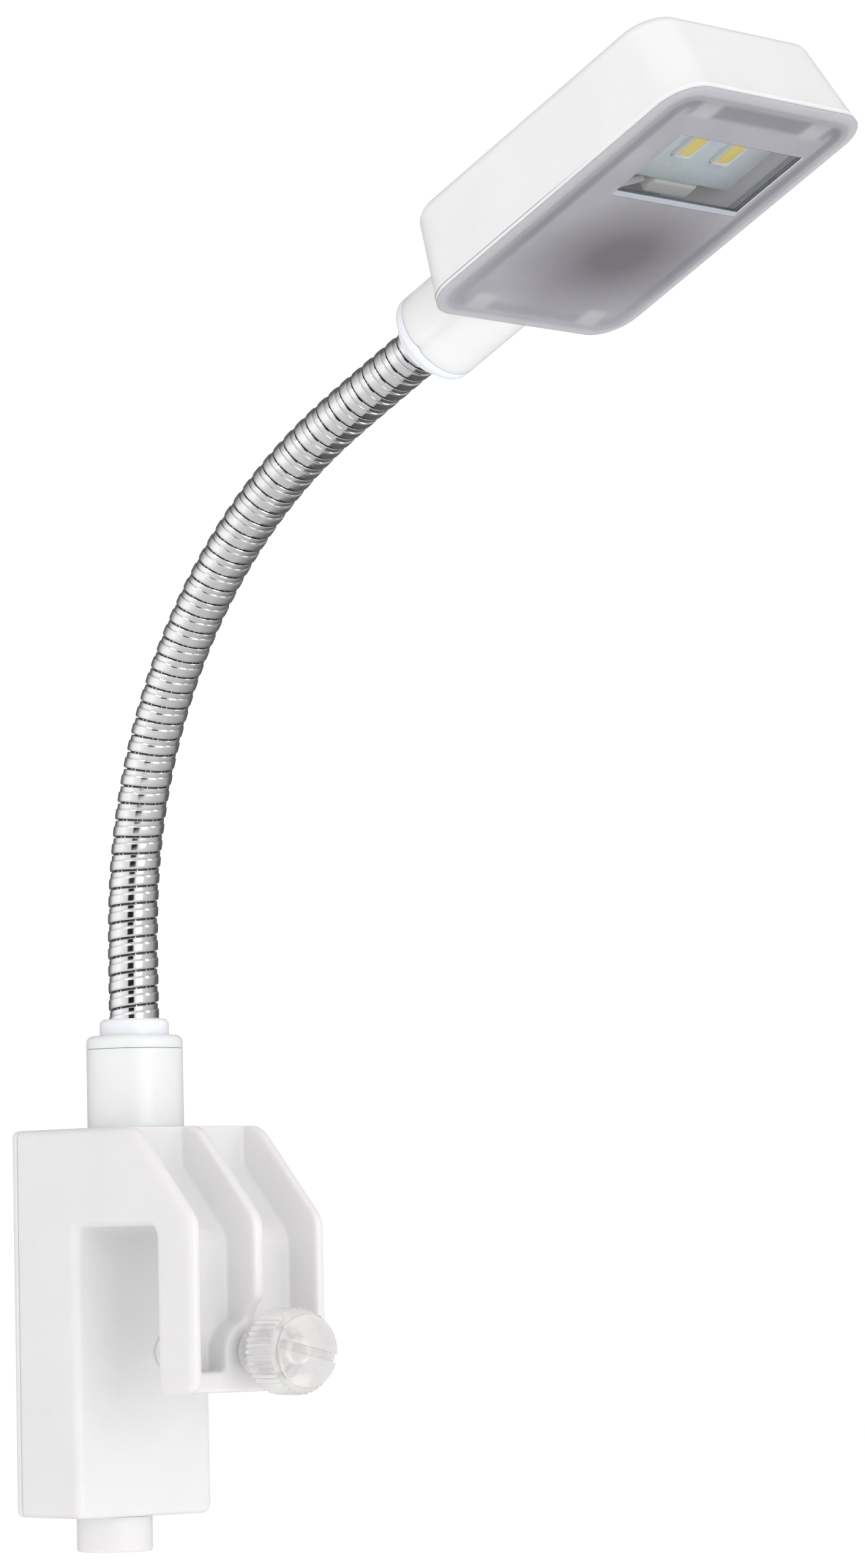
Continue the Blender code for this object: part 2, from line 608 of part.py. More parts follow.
def housing(head):
    """The white housing, open below, with its neck, its two posts for the board and catches."""
    rim = LENS_FACE + LENS_THICK + CLEAR
    edge = HEAD_BACK - HEAD_CROWN
    outer = [(rim, draft(rim), HEAD_CORNER), (edge, draft(edge), HEAD_CORNER)]
    for x, z in arc(0, edge, HEAD_CROWN, 22, 90, 3):
        outer.append((z, draft(HEAD_BACK) + HEAD_CROWN - x, HEAD_CORNER - 0.8 * (HEAD_CROWN - x)))
    verts, faces = rings_mesh(shell_rings(outer), True)
    body = add("head_housing", verts, faces, material("housing_white", (0.85, 0.85, 0.85), 0.35), head)
    neck = [(NECK_RADIUS - 0.4, NECK_START), (NECK_RADIUS, NECK_START + 0.4), (NECK_RADIUS, HEAD_START + 6)]
    lying = head @ Matrix.Rotation(math.pi / 2, 4, "Y")
    join(body, turned("neck_outside", neck, None, 32, lying, True))
    cut(body, block("lens_space", (HEAD_START - CLEAR, -30, -12), (90, 30, rim), None, head))
    roof = HEAD_BACK - HEAD_WALL
    hollow = [(rim - 2, draft(rim - 2) + HEAD_WALL, HEAD_CORNER - 1.4), (roof, draft(roof) + HEAD_WALL, 3.4)]
    verts, faces = rings_mesh(shell_rings(hollow), True)
    cut(body, add("head_hollow", verts, faces, None, head))
    cut(body, turned("neck_bore", [(HOSE_RADIUS + CLEAR, -2), (HOSE_RADIUS + CLEAR, HEAD_START + 8)],
                     None, 20, lying, True))
    for k, (s, w) in enumerate(BOARD_SCREWS):
        spot = head @ upright(s, w)
        low = BOARD_FACE + BOARD_THICK + CLEAR
        post = [(BOARD_POST_RADIUS, low), (BOARD_POST_RADIUS, roof + HEAD_WALL / 2)]
        join(body, turned(f"board_post_{k}", post, None, 12, spot, True))
        hole = [(BOARD_POST_BORE, low - 1), (BOARD_POST_BORE, BOARD_SCREW_TIP + 1)]
        cut(body, turned(f"board_post_hole_{k}", hole, None, 10, spot, True))


def lens(head):
    """The frosted cover with its inner lip, four snap tabs and opening, and the clear window in it."""
    top = LENS_FACE + LENS_THICK
    lip_top = top + LIP_HEIGHT
    levels = [
        (LENS_FACE, 0.35, HEAD_CORNER - 0.3), (LENS_FACE + 0.35, 0.0, HEAD_CORNER),
        (top, draft(top), HEAD_CORNER), (top, LIP_INSET, HEAD_CORNER - 1.9),
        (lip_top, LIP_INSET + 0.2, HEAD_CORNER - 1.9), (lip_top, LIP_INSET + LIP_THICK, 2.4),
        (top - 0.1, LIP_INSET + LIP_THICK, 2.4),
    ]
    verts, faces = rings_mesh(shell_rings(levels), True)
    cover = add("lens_cover", verts, faces, material("lens_frosted", (0.55, 0.54, 0.58), 0.5, 0.0, 0.5),
                head)
    low, high = HEAD_START + 3.6, HEAD_START + HEAD_LENGTH - 3.6
    for k, (s, w) in enumerate([(a, b) for a in (low, high) for b in (-TAB_SPREAD, TAB_SPREAD)]):
        join(cover, block(f"tab_{k}", (s - 0.5, w - TAB_WIDTH / 2, top - 0.4),
                          (s + 0.5, w + TAB_WIDTH / 2, 0.5), None, head))
    opening = block("window_opening", (*WINDOW_LOW, LENS_FACE - PAST), (*WINDOW_HIGH, top + 0.5), None, head)
    cut(cover, opening)
    low = [edge - WINDOW_LAP for edge in WINDOW_LOW]
    high = [edge + WINDOW_LAP for edge in WINDOW_HIGH]
    pane = block("clear_window", (*low, top + CLEAR), (*high, top + CLEAR + WINDOW_THICK),
                 material("window_clear", (0.9, 0.92, 0.93), 0.05, 0.0, 0.95), head)
    round_edges(pane, 0.2, 1)


def light_board(head):
    """The LED board, its LEDs, its screws and the connector that the lead ends in."""
    start, end, half = BOARD
    back = BOARD_FACE + BOARD_THICK
    board = block("led_board", (start, -half, BOARD_FACE), (end, half, back),
                  material("board_grey", (0.52, 0.60, 0.63), 0.45), head)
    for k, (s, w) in enumerate(BOARD_SCREWS):
        cut(board, turned(f"board_hole_{k}", [(1.1, BOARD_FACE - 1), (1.1, back + 1)], None, 12,
                          head @ upright(s, w), True))
    long, wide, high = LED_SIZE
    yellow = material("led_yellow", (0.90, 0.68, 0.12), 0.4)
    top = BOARD_FACE - 0.05
    for k in range(3):
        w = (k - 1) * LED_PITCH
        block(f"led_{k + 1}", (LED_S - long / 2, w - wide / 2, top - high),
              (LED_S + long / 2, w + wide / 2, top), yellow, head)
    steel = material("screw_steel", (0.55, 0.55, 0.56), 0.3, 1.0)
    for k, (s, w) in enumerate(BOARD_SCREWS):
        shape = [(1.6, BOARD_FACE - 0.9), (1.6, BOARD_FACE - 0.3), (0.7, BOARD_FACE - 0.28),
                 (0.6, BOARD_SCREW_TIP)]
        turned(f"board_screw_{k + 1}", shape, steel, 12, head @ upright(s, w), True)
    plug = block("lead_connector", CONNECTOR_LOW, CONNECTOR_HIGH,
                 material("connector_white", (0.78, 0.77, 0.75), 0.5), head)
    round_edges(plug, CONNECTOR_ROUND)


def head_fittings(head):
    """The collar and ring that close the head's neck round the hose."""
    lying = head @ Matrix.Rotation(math.pi / 2, 4, "Y")
    bore = HOSE_RADIUS + CLEAR
    cool = material("collar_white", COOL_WHITE, 0.35)
    ring_end = RING_START + RING_LENGTH
    ring = [(bore, ring_end), (NECK_RADIUS, ring_end),
            *arc(NECK_RADIUS - 0.9, RING_START + 0.9, 0.9, 0, -90, 3), (bore, RING_START)]
    turned("head_ring", ring, cool, 32, lying)
    collar_end = COLLAR_START + COLLAR_LENGTH
    collar = [(bore, collar_end), (COLLAR_RADIUS, collar_end), (COLLAR_RADIUS, COLLAR_START + 0.4),
              (COLLAR_RADIUS - 0.4, COLLAR_START), (bore, COLLAR_START)]
    turned("upper_collar", collar, cool, 24, lying)


def build():
    for old in list(bpy.data.objects):
        bpy.data.objects.remove(old, do_unlink=True)
    bracket()
    rear_cover()
    cable_outlet()
    stem()
    thumb_screw()
    gooseneck()
    head = head_frame()
    leads_in_ends(head)
    housing(head)
    lens(head)
    light_board(head)
    head_fittings(head)


build()
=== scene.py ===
"""The looks of the clamp-on reading lamp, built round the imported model. Lengths are in millimetres until
a piece is made; Blender's own values are in metres."""
import json
import math

import bmesh
import bpy
import numpy as np
from mathutils import Matrix, Vector


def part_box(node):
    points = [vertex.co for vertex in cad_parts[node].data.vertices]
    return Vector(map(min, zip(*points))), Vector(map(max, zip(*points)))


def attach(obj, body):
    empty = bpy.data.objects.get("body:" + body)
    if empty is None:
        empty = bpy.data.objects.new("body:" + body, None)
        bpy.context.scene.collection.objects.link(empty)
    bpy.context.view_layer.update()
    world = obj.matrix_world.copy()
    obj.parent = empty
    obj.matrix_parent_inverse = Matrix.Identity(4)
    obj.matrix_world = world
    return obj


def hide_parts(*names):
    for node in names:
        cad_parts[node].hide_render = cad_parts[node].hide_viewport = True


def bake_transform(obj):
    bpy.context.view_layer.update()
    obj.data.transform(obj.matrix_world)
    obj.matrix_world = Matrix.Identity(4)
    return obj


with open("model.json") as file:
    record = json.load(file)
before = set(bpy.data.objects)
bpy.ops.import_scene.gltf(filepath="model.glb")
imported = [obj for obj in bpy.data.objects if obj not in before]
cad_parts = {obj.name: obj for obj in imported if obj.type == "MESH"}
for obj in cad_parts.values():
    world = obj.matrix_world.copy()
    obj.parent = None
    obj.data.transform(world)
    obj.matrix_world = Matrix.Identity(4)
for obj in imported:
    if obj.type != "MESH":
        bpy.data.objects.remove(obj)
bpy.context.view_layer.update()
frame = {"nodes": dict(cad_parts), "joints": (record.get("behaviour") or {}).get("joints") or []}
MM = 0.001
JOINTS = {j["name"]: j for j in frame["joints"]}


def corner(node, high):
    """A node's lowest or highest corner, in mm."""
    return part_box(node)[1 if high else 0] / MM


# ---- sizes, mm
BODY_LOW, BODY_HIGH = corner("bracket_body", False), corner("bracket_body", True)
COVER_LOW, COVER_HIGH = corner("rear_cover", False), corner("rear_cover", True)
TOP = BODY_HIGH.z
BOTTOM = BODY_LOW.z
HALF = BODY_HIGH.y
ARM_OUT = BODY_HIGH.x
GAP_HALF = 8.35
ARM_DROP = -21.1
WALL = 1.6
CHAMFER = 12.0
CHAMFER_BEND = 3.5
RIB = 1.6
WEB = GAP_HALF + 1.8
WEB_TOP_X = 1.25
WEB_SLOPE_Z = 7.4
BOSS_FACE = ARM_OUT - 2.1
BOSS_RADIUS = 4.0
FLANGE = 2.7
LEG_PARTING = -23.5  # height of the fine line across the leg
HUB_RADIUS = 3.15
KNOB_START = 19.1
KNOB_LENGTH = 5.5
KNOB_RADIUS = corner("thumb_knob", True).y
DISC_RADIUS = 4.6
THREAD_PITCH = 0.5
THREAD_RADII = (1.48, 1.2)  # crest and root
STEM_RADIUS = 6.24
COLLAR_RADIUS = 4.48
STEM = Vector(JOINTS["lower_bend_1"]["pos_m"]) / MM
SCREW_Z = JOINTS["screw_turn"]["pos_m"][2] / MM
OUTLET_X = (corner("cable_outlet", False).x + corner("cable_outlet", True).x) / 2
OUTLET_END = corner("cable_outlet", False).z

# Gooseneck
HOSE_RADIUS = 3.25
# Radius of the near-black tube whose painted shade shows in the grooves between the turns
GROOVE_SHADE_RADIUS = 2.74
BORE_RADIUS = HOSE_RADIUS + 0.25
HOSE_PITCH = 2.22
HOSE_START = -2.5
HOSE_LENGTH = 103.6
COLLAR_TOP = 26.8
BEND_TOTAL = math.radians(63.0)
BEND_START = 4.5
BEND_END = 96.0
BEND_EASE = 13.0
FIRST_JOINT = 6.0
JOINT_STEP = 8.33
NECK_JOINTS = 12
ACROSS = Vector(JOINTS["lower_bend_1"]["axis"]).normalized()
OUTWARD = ACROSS.cross(Vector((0, 0, 1)))

# Head: s along, w across, n up, from the hose's end on the neck's axis
LENS_FACE = -6.4
HEAD_BACK = 6.1
HEAD_START = 15.6
HEAD_LENGTH = 47.5
HEAD_MIDDLE = HEAD_START + HEAD_LENGTH / 2
HEAD_WIDTH = 35.5
HEAD_CORNER = 5.0
HEAD_DRAFT = 1.6
HEAD_WALL = 1.4
CROWN = 1.6
NECK_RADIUS = 6.1
LENS_EDGE = 0.5
LIP_INSET = 3.0  # from the head's outline to the middle of the cover's lip
SHADOW = (31.5, 3.0, 8.5, 11.0)  # the cover's painted shadow: place s and w, and its size along s and w
SEAM = 0.04
COLLAR_START = 1.2
RING_START = 2.4
NECK_START = 4.16
WINDOW_LOW = (42.0, -9.6)  # corners of the cover's opening, s and w
WINDOW_HIGH = (54.6, 13.6)
BOARD = (42.2, 58.0, 14.2)  # its two ends along s, and half its width
BOARD_FACE = LENS_FACE + 4.2
BOARD_THICK = 1.0
BOARD_SCREW = (55.4, 11.9)
LED_S = 49.9
LED_PITCH = 7.2
LED_SIZE = (5.7, 3.0)
LED_WELL = (4.7, 2.25)
CONNECTOR_LOW = (39.1, 1.3, -2.1)
CONNECTOR_HIGH = (41.8, 9.5, 0.2)
TAB_W = 10.2
TAB_S = (HEAD_START + 3.6, HEAD_START + HEAD_LENGTH - 3.6)


# ---- meshes

def add(name, verts, faces, mats=(), place=Matrix.Identity(4), sharp=40):
    """A mesh object from points in mm, put where place says, with normals out."""
    bm = bmesh.new()
    points = [bm.verts.new(place @ Vector(v)) for v in verts]
    for face in faces:
        bm.faces.new([points[i] for i in face])
    bmesh.ops.recalc_face_normals(bm, faces=bm.faces)
    bmesh.ops.scale(bm, vec=(MM, MM, MM), verts=bm.verts)
    mesh = bpy.data.meshes.new(name)
    bm.to_mesh(mesh)
    bm.free()
    obj = bpy.data.objects.new(name, mesh)
    bpy.context.scene.collection.objects.link(obj)
    for mat in mats:
        mesh.materials.append(mat)
    mesh.shade_smooth()
    mesh.set_sharp_from_angle(angle=math.radians(sharp))
    return obj


def rings_mesh(rings, capped=True):
    """Points and faces of a skin over rings of points, with flat ends or closed into a loop."""
    count = len(rings[0])
    verts = [p for ring in rings for p in ring]
    faces = []
    for k in range(len(rings) - 1 if capped else len(rings)):
        a, b = k * count, ((k + 1) % len(rings)) * count
        for i in range(count):
            j = (i + 1) % count
            faces.append((a + i, a + j, b + j, b + i))
    if capped:
        faces.append(tuple(range(count)))
        faces.append(tuple(range(len(verts) - count, len(verts))))
    return verts, faces


def arc(x, y, radius, start, end, steps):
    """Points on an arc about (x, y), between two angles in degrees."""
    angles = [math.radians(start + (end - start) * i / steps) for i in range(steps + 1)]
    return [(x + radius * math.cos(a), y + radius * math.sin(a)) for a in angles]


def turned(name, profile, mats=(), sides=96, place=Matrix.Identity(4), capped=False):
    """A turned piece about local Z from (radius, height) points, closed as a loop or capped flat."""
    turn = [2 * math.pi * i / sides for i in range(sides)]
    rings = [[(r * math.cos(a), r * math.sin(a), height) for a in turn] for r, height in profile]
    return add(name, *rings_mesh(rings, capped), mats, place)


def prism(name, outline, low, high, mats=(), place=Matrix.Identity(4)):
    """An outline in x and y, drawn out from low to high along Z."""
    rings = [[(x, y, z) for x, y in outline] for z in (low, high)]
    return add(name, *rings_mesh(rings), mats, place)


def block(name, low, high, mats=(), place=Matrix.Identity(4)):
    outline = [(low[0], low[1]), (high[0], low[1]), (high[0], high[1]), (low[0], high[1])]
    return prism(name, outline, low[2], high[2], mats, place)


def side_view(name, outline, low, high, mats=()):
    """An outline in x and z, drawn out from low to high along Y."""
    turn = Matrix(((1, 0, 0, 0), (0, 0, 1, 0), (0, 1, 0, 0), (0, 0, 0, 1)))
    return prism(name, outline, low, high, mats, turn)


def rounded(length, width, radius, steps=12):
    """The outline of a rectangle with rounded corners, about the origin."""
    points = []
    for quarter, (sx, sy) in enumerate([(1, 1), (-1, 1), (-1, -1), (1, -1)]):
        x, y = sx * (length / 2 - radius), sy * (width / 2 - radius)
        points += arc(x, y, radius, quarter * 90, quarter * 90 + 90, steps)
    return points


def along_x(x, y, z):
    """Puts a turned piece's start at a point, with its axis along X."""
    return Matrix.Translation((x, y, z)) @ Matrix.Rotation(math.pi / 2, 4, "Y")


def round_edges(obj, width, segments=4):
    """Rounds every sharp edge by width, in mm."""
    edging = obj.modifiers.new("round", "BEVEL")
    edging.width = width * MM
    edging.segments = segments
    edging.limit_method = "ANGLE"
    edging.angle_limit = math.radians(30)
    return settle(obj)


def settle(obj):
    """Applies every modifier on obj to its mesh."""
    graph = bpy.context.evaluated_depsgraph_get()
    mesh = bpy.data.meshes.new_from_object(obj.evaluated_get(graph))
    old = obj.data
    obj.modifiers.clear()
    obj.data = mesh
    mesh.name = obj.name
    bpy.data.meshes.remove(old)
    return obj


def boolean(obj, operation, others):
    """Cuts or joins others in one go, and removes them."""
    for other in others:
        step = obj.modifiers.new("step", "BOOLEAN")
        step.operation = operation
        step.object = other
    settle(obj)
    for other in others:
        bpy.data.objects.remove(other, do_unlink=True)
    return obj


def cut(obj, *others):
    return boolean(obj, "DIFFERENCE", others)


def join(obj, *others):
    return boolean(obj, "UNION", others)


def drill(obj, profile, place, sides=48):
    """Cuts a round hole of (radius, height) points about place's Z axis."""
    return cut(obj, turned("hole", profile, (), sides, place, True))


def cross_recess(screw, place, turn, half, low, high):
    """Cuts a cross into a screw's head: half its length and width, between two heights."""
    for quarter in (0, 90):
        arm = place @ Matrix.Rotation(math.radians(quarter + turn), 4, "Z")
        cut(screw, block("cross", (-half[0], -half[1], low), (*half, high), (), arm))


def remesh(obj, voxel):
    """Gives obj an even mesh of faces about voxel mm across."""
    step = obj.modifiers.new("remesh", "REMESH")
    step.mode = "VOXEL"
    step.voxel_size = voxel * MM
    step.use_smooth_shade = True
    return settle(obj)


def points_of(obj):
    """The mesh's points in metres."""
    co = np.empty(len(obj.data.vertices) * 3)
    obj.data.vertices.foreach_get("co", co)
    return co.reshape(-1, 3)


def move_points(obj, co):
    obj.data.vertices.foreach_set("co", co.ravel())
    obj.data.update()


def relax(obj, rounds, weight):
    """Rounds edges: each point moves towards the mean of its neighbours, by weight(points in mm)."""
    mesh, co = obj.data, points_of(obj)
    count = len(co)
    ends = np.empty(len(mesh.edges) * 2, np.int64)
    mesh.edges.foreach_get("vertices", ends)
    a, b = ends.reshape(-1, 2).T
    degree = np.bincount(np.r_[a, b], minlength=count)[:, None]
    share = weight(co / MM)[:, None]
    for _ in range(rounds):
        total = np.stack([np.bincount(a, co[b, axis], count) + np.bincount(b, co[a, axis], count)
                          for axis in range(3)], 1)
        co += share * (total / degree - co)
    move_points(obj, co)


def carve(obj, depth_of):
    """Pushes each point in along its normal by depth_of(points, normals), in mm."""
    co = points_of(obj)
    normals = np.empty(co.size, np.float32)
    obj.data.vertex_normals.foreach_get("vector", normals)
    normals = normals.reshape(-1, 3).astype(float)
    move_points(obj, co - normals * (depth_of(co / MM, normals) * MM)[:, None])


def reshade(obj, angle):
    """Smooth shading, with edges sharper than angle in degrees kept crisp."""
    obj.data.shade_smooth()
    obj.data.set_sharp_from_angle(angle=math.radians(angle))


def finish_piece(obj, body, slot, *nodes):
    """Makes a piece ride on a body and hides the CAD nodes that it stands for. The slot is not used."""
    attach(obj, body)
    if nodes:
        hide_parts(*nodes)
    return obj


# ---- lines of the hose and the head

def bend_at(s):
    """The hose's lean from vertical after s mm: a steady bend, eased in and out."""
    peak = BEND_TOTAL / (BEND_END - BEND_START - BEND_EASE)
    run = min(max(s - BEND_START, 0), BEND_EASE)
    lean = peak * run * run / (2 * BEND_EASE)
    lean += peak * min(max(s - BEND_START - BEND_EASE, 0), BEND_END - BEND_START - 2 * BEND_EASE)
    rest = min(max(s - BEND_END + BEND_EASE, 0), BEND_EASE)
    return lean + peak * (rest - rest * rest / (2 * BEND_EASE))


def hose_line():
    """Distances along the hose, and its centre line's points and leans there."""
    step = 0.1
    s = np.arange(HOSE_START - 1, HOSE_LENGTH + 8, step)
    lean = np.array([bend_at(x) for x in s])
    middle = (lean[1:] + lean[:-1]) / 2
    out = np.r_[0, np.cumsum(np.sin(middle) * step)]
    up = np.r_[0, np.cumsum(np.cos(middle) * step)]
    at = np.interp(0, s, up)
    flat = np.array(OUTWARD)
    base = np.array((STEM.x, STEM.y, COLLAR_TOP))
    return s, base + np.outer(out, flat) + np.outer(up - at, (0, 0, 1)), lean


S_LINE, P_LINE, LEAN_LINE = hose_line()


def on_hose(s):
    """Points, sideways directions and across directions at distances s along the hose."""
    point = np.stack([np.interp(s, S_LINE, P_LINE[:, i]) for i in range(3)], -1)
    lean = np.interp(s, S_LINE, LEAN_LINE)
    side = np.outer(np.cos(lean), np.array(OUTWARD)) - np.outer(np.sin(lean), (0, 0, 1))
    return point, side, np.tile(np.array(ACROSS), (len(s), 1))


def head_frame():
    """The head's s, w and n axes, from the end of the hose."""
    end = Vector(on_hose(np.array([HOSE_LENGTH]))[0][0])
    s = OUTWARD * math.sin(BEND_TOTAL) + Vector((0, 0, math.cos(BEND_TOTAL)))
    m = Matrix((s, ACROSS, s.cross(ACROSS))).transposed().to_4x4()
    m.translation = end
    return m


HEAD = head_frame()
LYING = HEAD @ Matrix.Rotation(math.pi / 2, 4, "Y")  # for pieces turned about the neck


# ---- materials

class Nodes:
    """A short way to add shader nodes to one material."""

    def __init__(self, name):
        self.material = bpy.data.materials.new(name)
        self.material.use_nodes = True
        self.tree = self.material.node_tree
        self.shader = self.tree.nodes["Principled BSDF"]
        self.place = self.new("ShaderNodeTexCoord").outputs["Object"]

    def new(self, kind, **settings):
        node = self.tree.nodes.new(kind)
        for key, value in settings.items():
            setattr(node, key, value)
        return node

    def link(self, source, target):
        self.tree.links.new(source, target)

    def noise(self, scale, detail=2.0, roughness=0.5, stretch=None):
        texture = self.new("ShaderNodeTexNoise")
        texture.inputs["Scale"].default_value = scale
        texture.inputs["Detail"].default_value = detail
        texture.inputs["Roughness"].default_value = roughness
        source = self.place
        if stretch:
            mapping = self.new("ShaderNodeMapping")
            mapping.inputs["Scale"].default_value = stretch
            self.link(source, mapping.inputs["Vector"])
            source = mapping.outputs["Vector"]
        self.link(source, texture.inputs["Vector"])
        return texture.outputs["Fac"]

    def ramp(self, source, low, high, start=0.3, end=0.7):
        """Maps source from start..end to low..high."""
        node = self.new("ShaderNodeMapRange")
        node.inputs["From Min"].default_value = start
        node.inputs["From Max"].default_value = end
        node.inputs["To Min"].default_value = low
        node.inputs["To Max"].default_value = high
        self.link(source, node.inputs["Value"])
        return node.outputs["Result"]

    def math(self, operation, first, second=None):
        """One sum on sockets or plain numbers."""
        node = self.new("ShaderNodeMath", operation=operation)
        for value, socket in zip((first, second), node.inputs):
            if value is None:
                continue
            if isinstance(value, (int, float)):
                socket.default_value = value
            else:
                self.link(value, socket)
        return node.outputs["Value"]

    def off(self, source, place):
        """How far source is from a place on its scale."""
        return self.math("ABSOLUTE", self.math("SUBTRACT", source, place))

    def distance(self, first, second):
        """How far off two distances at right angles come to."""
        squares = (self.math("POWER", first, 2.0), self.math("POWER", second, 2.0))
        return self.math("SQRT", self.math("ADD", *squares))

    def along(self, place, axis):
        """The distance in mm along one axis of a frame given in mm."""
        direction = place.to_3x3().col[axis]
        node = self.new("ShaderNodeVectorMath", operation="DOT_PRODUCT")
        self.link(self.place, node.inputs[0])
        node.inputs[1].default_value = direction / MM
        return self.math("SUBTRACT", node.outputs["Value"], direction.dot(place.translation))

    def fade(self, source, full, none):
        """1 up to full, then down to 0 at none."""
        return self.ramp(source, 1.0, 0.0, full, none)

    def mix(self, factor, first, second):
        node = self.new("ShaderNodeMix", data_type="RGBA")
        self.link(factor, node.inputs["Factor"])
        for value, socket in ((first, node.inputs["A"]), (second, node.inputs["B"])):
            if isinstance(value, tuple):
                socket.default_value = (*value, 1.0)
            else:
                self.link(value, socket)
        return node.outputs["Result"]

    def colour(self, source, first, second):
        """The surface's colour, a mix of two by source."""
        self.link(self.mix(source, first, second), self.shader.inputs["Base Color"])

    def gloss(self, source, low, high):
        """The surface's roughness, from low to high."""
        self.link(self.ramp(source, low, high), self.shader.inputs["Roughness"])

    def bump(self, height, strength, distance):
        node = self.new("ShaderNodeBump")
        node.inputs["Strength"].default_value = strength
        node.inputs["Distance"].default_value = distance
        self.link(height, node.inputs["Height"])
        self.link(node.outputs["Normal"], self.shader.inputs["Normal"])

    def set(self, **values):
        for key, value in values.items():
            self.shader.inputs[key.replace("_", " ")].default_value = value


def moulded(name, colour, roughness, grain, depth=0.3):
    """Moulded plastic: fine spark-eroded grain, slight flow marks in colour and gloss."""
    m = Nodes(name)
    dark = tuple(c * 0.965 for c in colour)
    flow = m.noise(90.0, 3.0)
    m.colour(m.ramp(flow, 0.0, 1.0), dark, colour)
    m.gloss(m.noise(420.0, 2.0), roughness - 0.04, roughness + 0.05)
    m.bump(m.noise(5200.0, 3.0, 0.6), grain, 0.00004)
    m.set(IOR=1.49, Subsurface_Weight=depth, Subsurface_Scale=0.0015)
    return m.material


def plated(name, colour, low, high):
    """Bright plating: fine polishing scratches round the hose, and faint haze."""
    m = Nodes(name)
    haze = m.noise(260.0, 4.0, 0.6)
    tint = tuple(c * 0.9 for c in colour)
    m.colour(m.ramp(haze, 0.0, 1.0), tint, colour)
    m.gloss(haze, low, high)
    m.bump(m.noise(1500.0, 2.0, 0.5, (1.0, 1.0, 7.0)), 0.10, 0.00002)
    m.set(Metallic=1.0)
    return m.material


def clear_plastic(name, colour, roughness, ior=1.49, clear=1.0):
    """Clear moulded plastic with faint flow lines and fine wear."""
    m = Nodes(name)
    wear = m.noise(700.0, 3.0)
    tint = tuple(c * 0.97 for c in colour)
    m.colour(m.ramp(wear, 0.0, 1.0), tint, colour)
    m.gloss(wear, roughness * 0.6, roughness * 1.6)
    m.bump(m.noise(300.0, 2.0), 0.12, 0.00008)
    m.set(Transmission_Weight=clear, IOR=ior)
    return m.material


def frosted(name):
    """Spark-textured translucent cover. Light and shade are painted into its colour as soft bands for its own
    ribs
    and what lies behind it: a pale rim and pale snap tabs as painted light, a dark lip and a dark strip at
    the far end as painted shade, and a painted shadow where the lead comes in."""
    m = Nodes(name)
    s, w = m.along(HEAD, 0), m.along(HEAD, 1)
    across_s = m.off(s, HEAD_MIDDLE)
    across_w = m.math("ABSOLUTE", w)
    past_s = m.math("MAXIMUM", m.math("SUBTRACT", across_s, HEAD_LENGTH / 2 - HEAD_CORNER), 0.0)
    past_w = m.math("MAXIMUM", m.math("SUBTRACT", across_w, HEAD_WIDTH / 2 - HEAD_CORNER), 0.0)
    inset = m.math("SUBTRACT", HEAD_CORNER, m.distance(past_s, past_w))
    # Painted light on the rim and the snap tabs, painted shade over the lip and the far strip
    rim = m.fade(inset, 1.0, 1.5)
    lip = m.fade(m.off(inset, LIP_INSET), 0.45, 1.05)
    lip = m.math("MULTIPLY", lip, m.ramp(s, 0.35, 1.0, TAB_S[0] + 2, TAB_S[0] + 14))
    strip = m.fade(m.off(s, TAB_S[1] - 0.2), 0.6, 1.3)
    strip = m.math("MULTIPLY", strip, m.fade(across_w, 12.4, 13.6))
    end = m.math("MINIMUM", m.off(s, TAB_S[0]), m.off(s, TAB_S[1]))
    tab = m.math("MULTIPLY", m.fade(end, 1.0, 1.9), m.fade(m.off(across_w, TAB_W), 1.3, 2.4))
    # A painted shadow where the lead comes in
    shadow_s = m.math("DIVIDE", m.math("SUBTRACT", s, SHADOW[0]), SHADOW[2])
    shadow_w = m.math("DIVIDE", m.math("SUBTRACT", w, SHADOW[1]), SHADOW[3])
    shadow = m.fade(m.distance(shadow_s, shadow_w), 0.35, 1.6)
    cloud = m.ramp(m.noise(160.0, 3.0), 0.0, 1.0)
    tone = m.mix(cloud, (0.53, 0.52, 0.56), (0.58, 0.57, 0.61))
    tone = m.mix(m.math("MULTIPLY", shadow, 0.85), tone, (0.20, 0.19, 0.215))
    tone = m.mix(m.math("MULTIPLY", m.math("MAXIMUM", lip, strip), 0.75), tone, (0.33, 0.32, 0.36))
    m.colour(m.math("MULTIPLY", m.math("MAXIMUM", tab, rim), 0.7), tone, (0.74, 0.73, 0.76))
    m.gloss(m.noise(900.0, 2.0), 0.36, 0.44)
    m.bump(m.noise(4200.0, 3.0, 0.65), 0.35, 0.00005)
    m.set(Transmission_Weight=0.45, IOR=1.45)
    return m.material


def inner_roof():
    """The housing's roof inside: pale over the board as painted light, and dark where the lead comes in as
    painted shade.
    """
    m = Nodes("housing_inside")
    near = m.fade(m.along(HEAD, 0), 36.0, 50.0)
    grain = m.noise(700.0, 3.0)
    pale = m.mix(grain, (0.84, 0.81, 0.86), (0.88, 0.85, 0.90))
    dark = m.mix(grain, (0.22, 0.22, 0.24), (0.28, 0.28, 0.30))
    # Painted shade near the neck, fading to painted light over the board
    m.colour(near, pale, dark)
    m.set(Roughness=0.6)
    m.bump(grain, 0.2, 0.00004)
    return m.material


def board_mask():
    """The board's pale solder mask with its weave just showing."""
    m = Nodes("board_mask")
    weave = m.noise(2600.0, 1.0)
    m.colour(m.ramp(weave, 0.0, 1.0), (0.56, 0.64, 0.68), (0.62, 0.70, 0.74))
    m.gloss(m.noise(800.0, 2.0), 0.35, 0.5)
    m.bump(weave, 0.15, 0.00003)
    return m.material


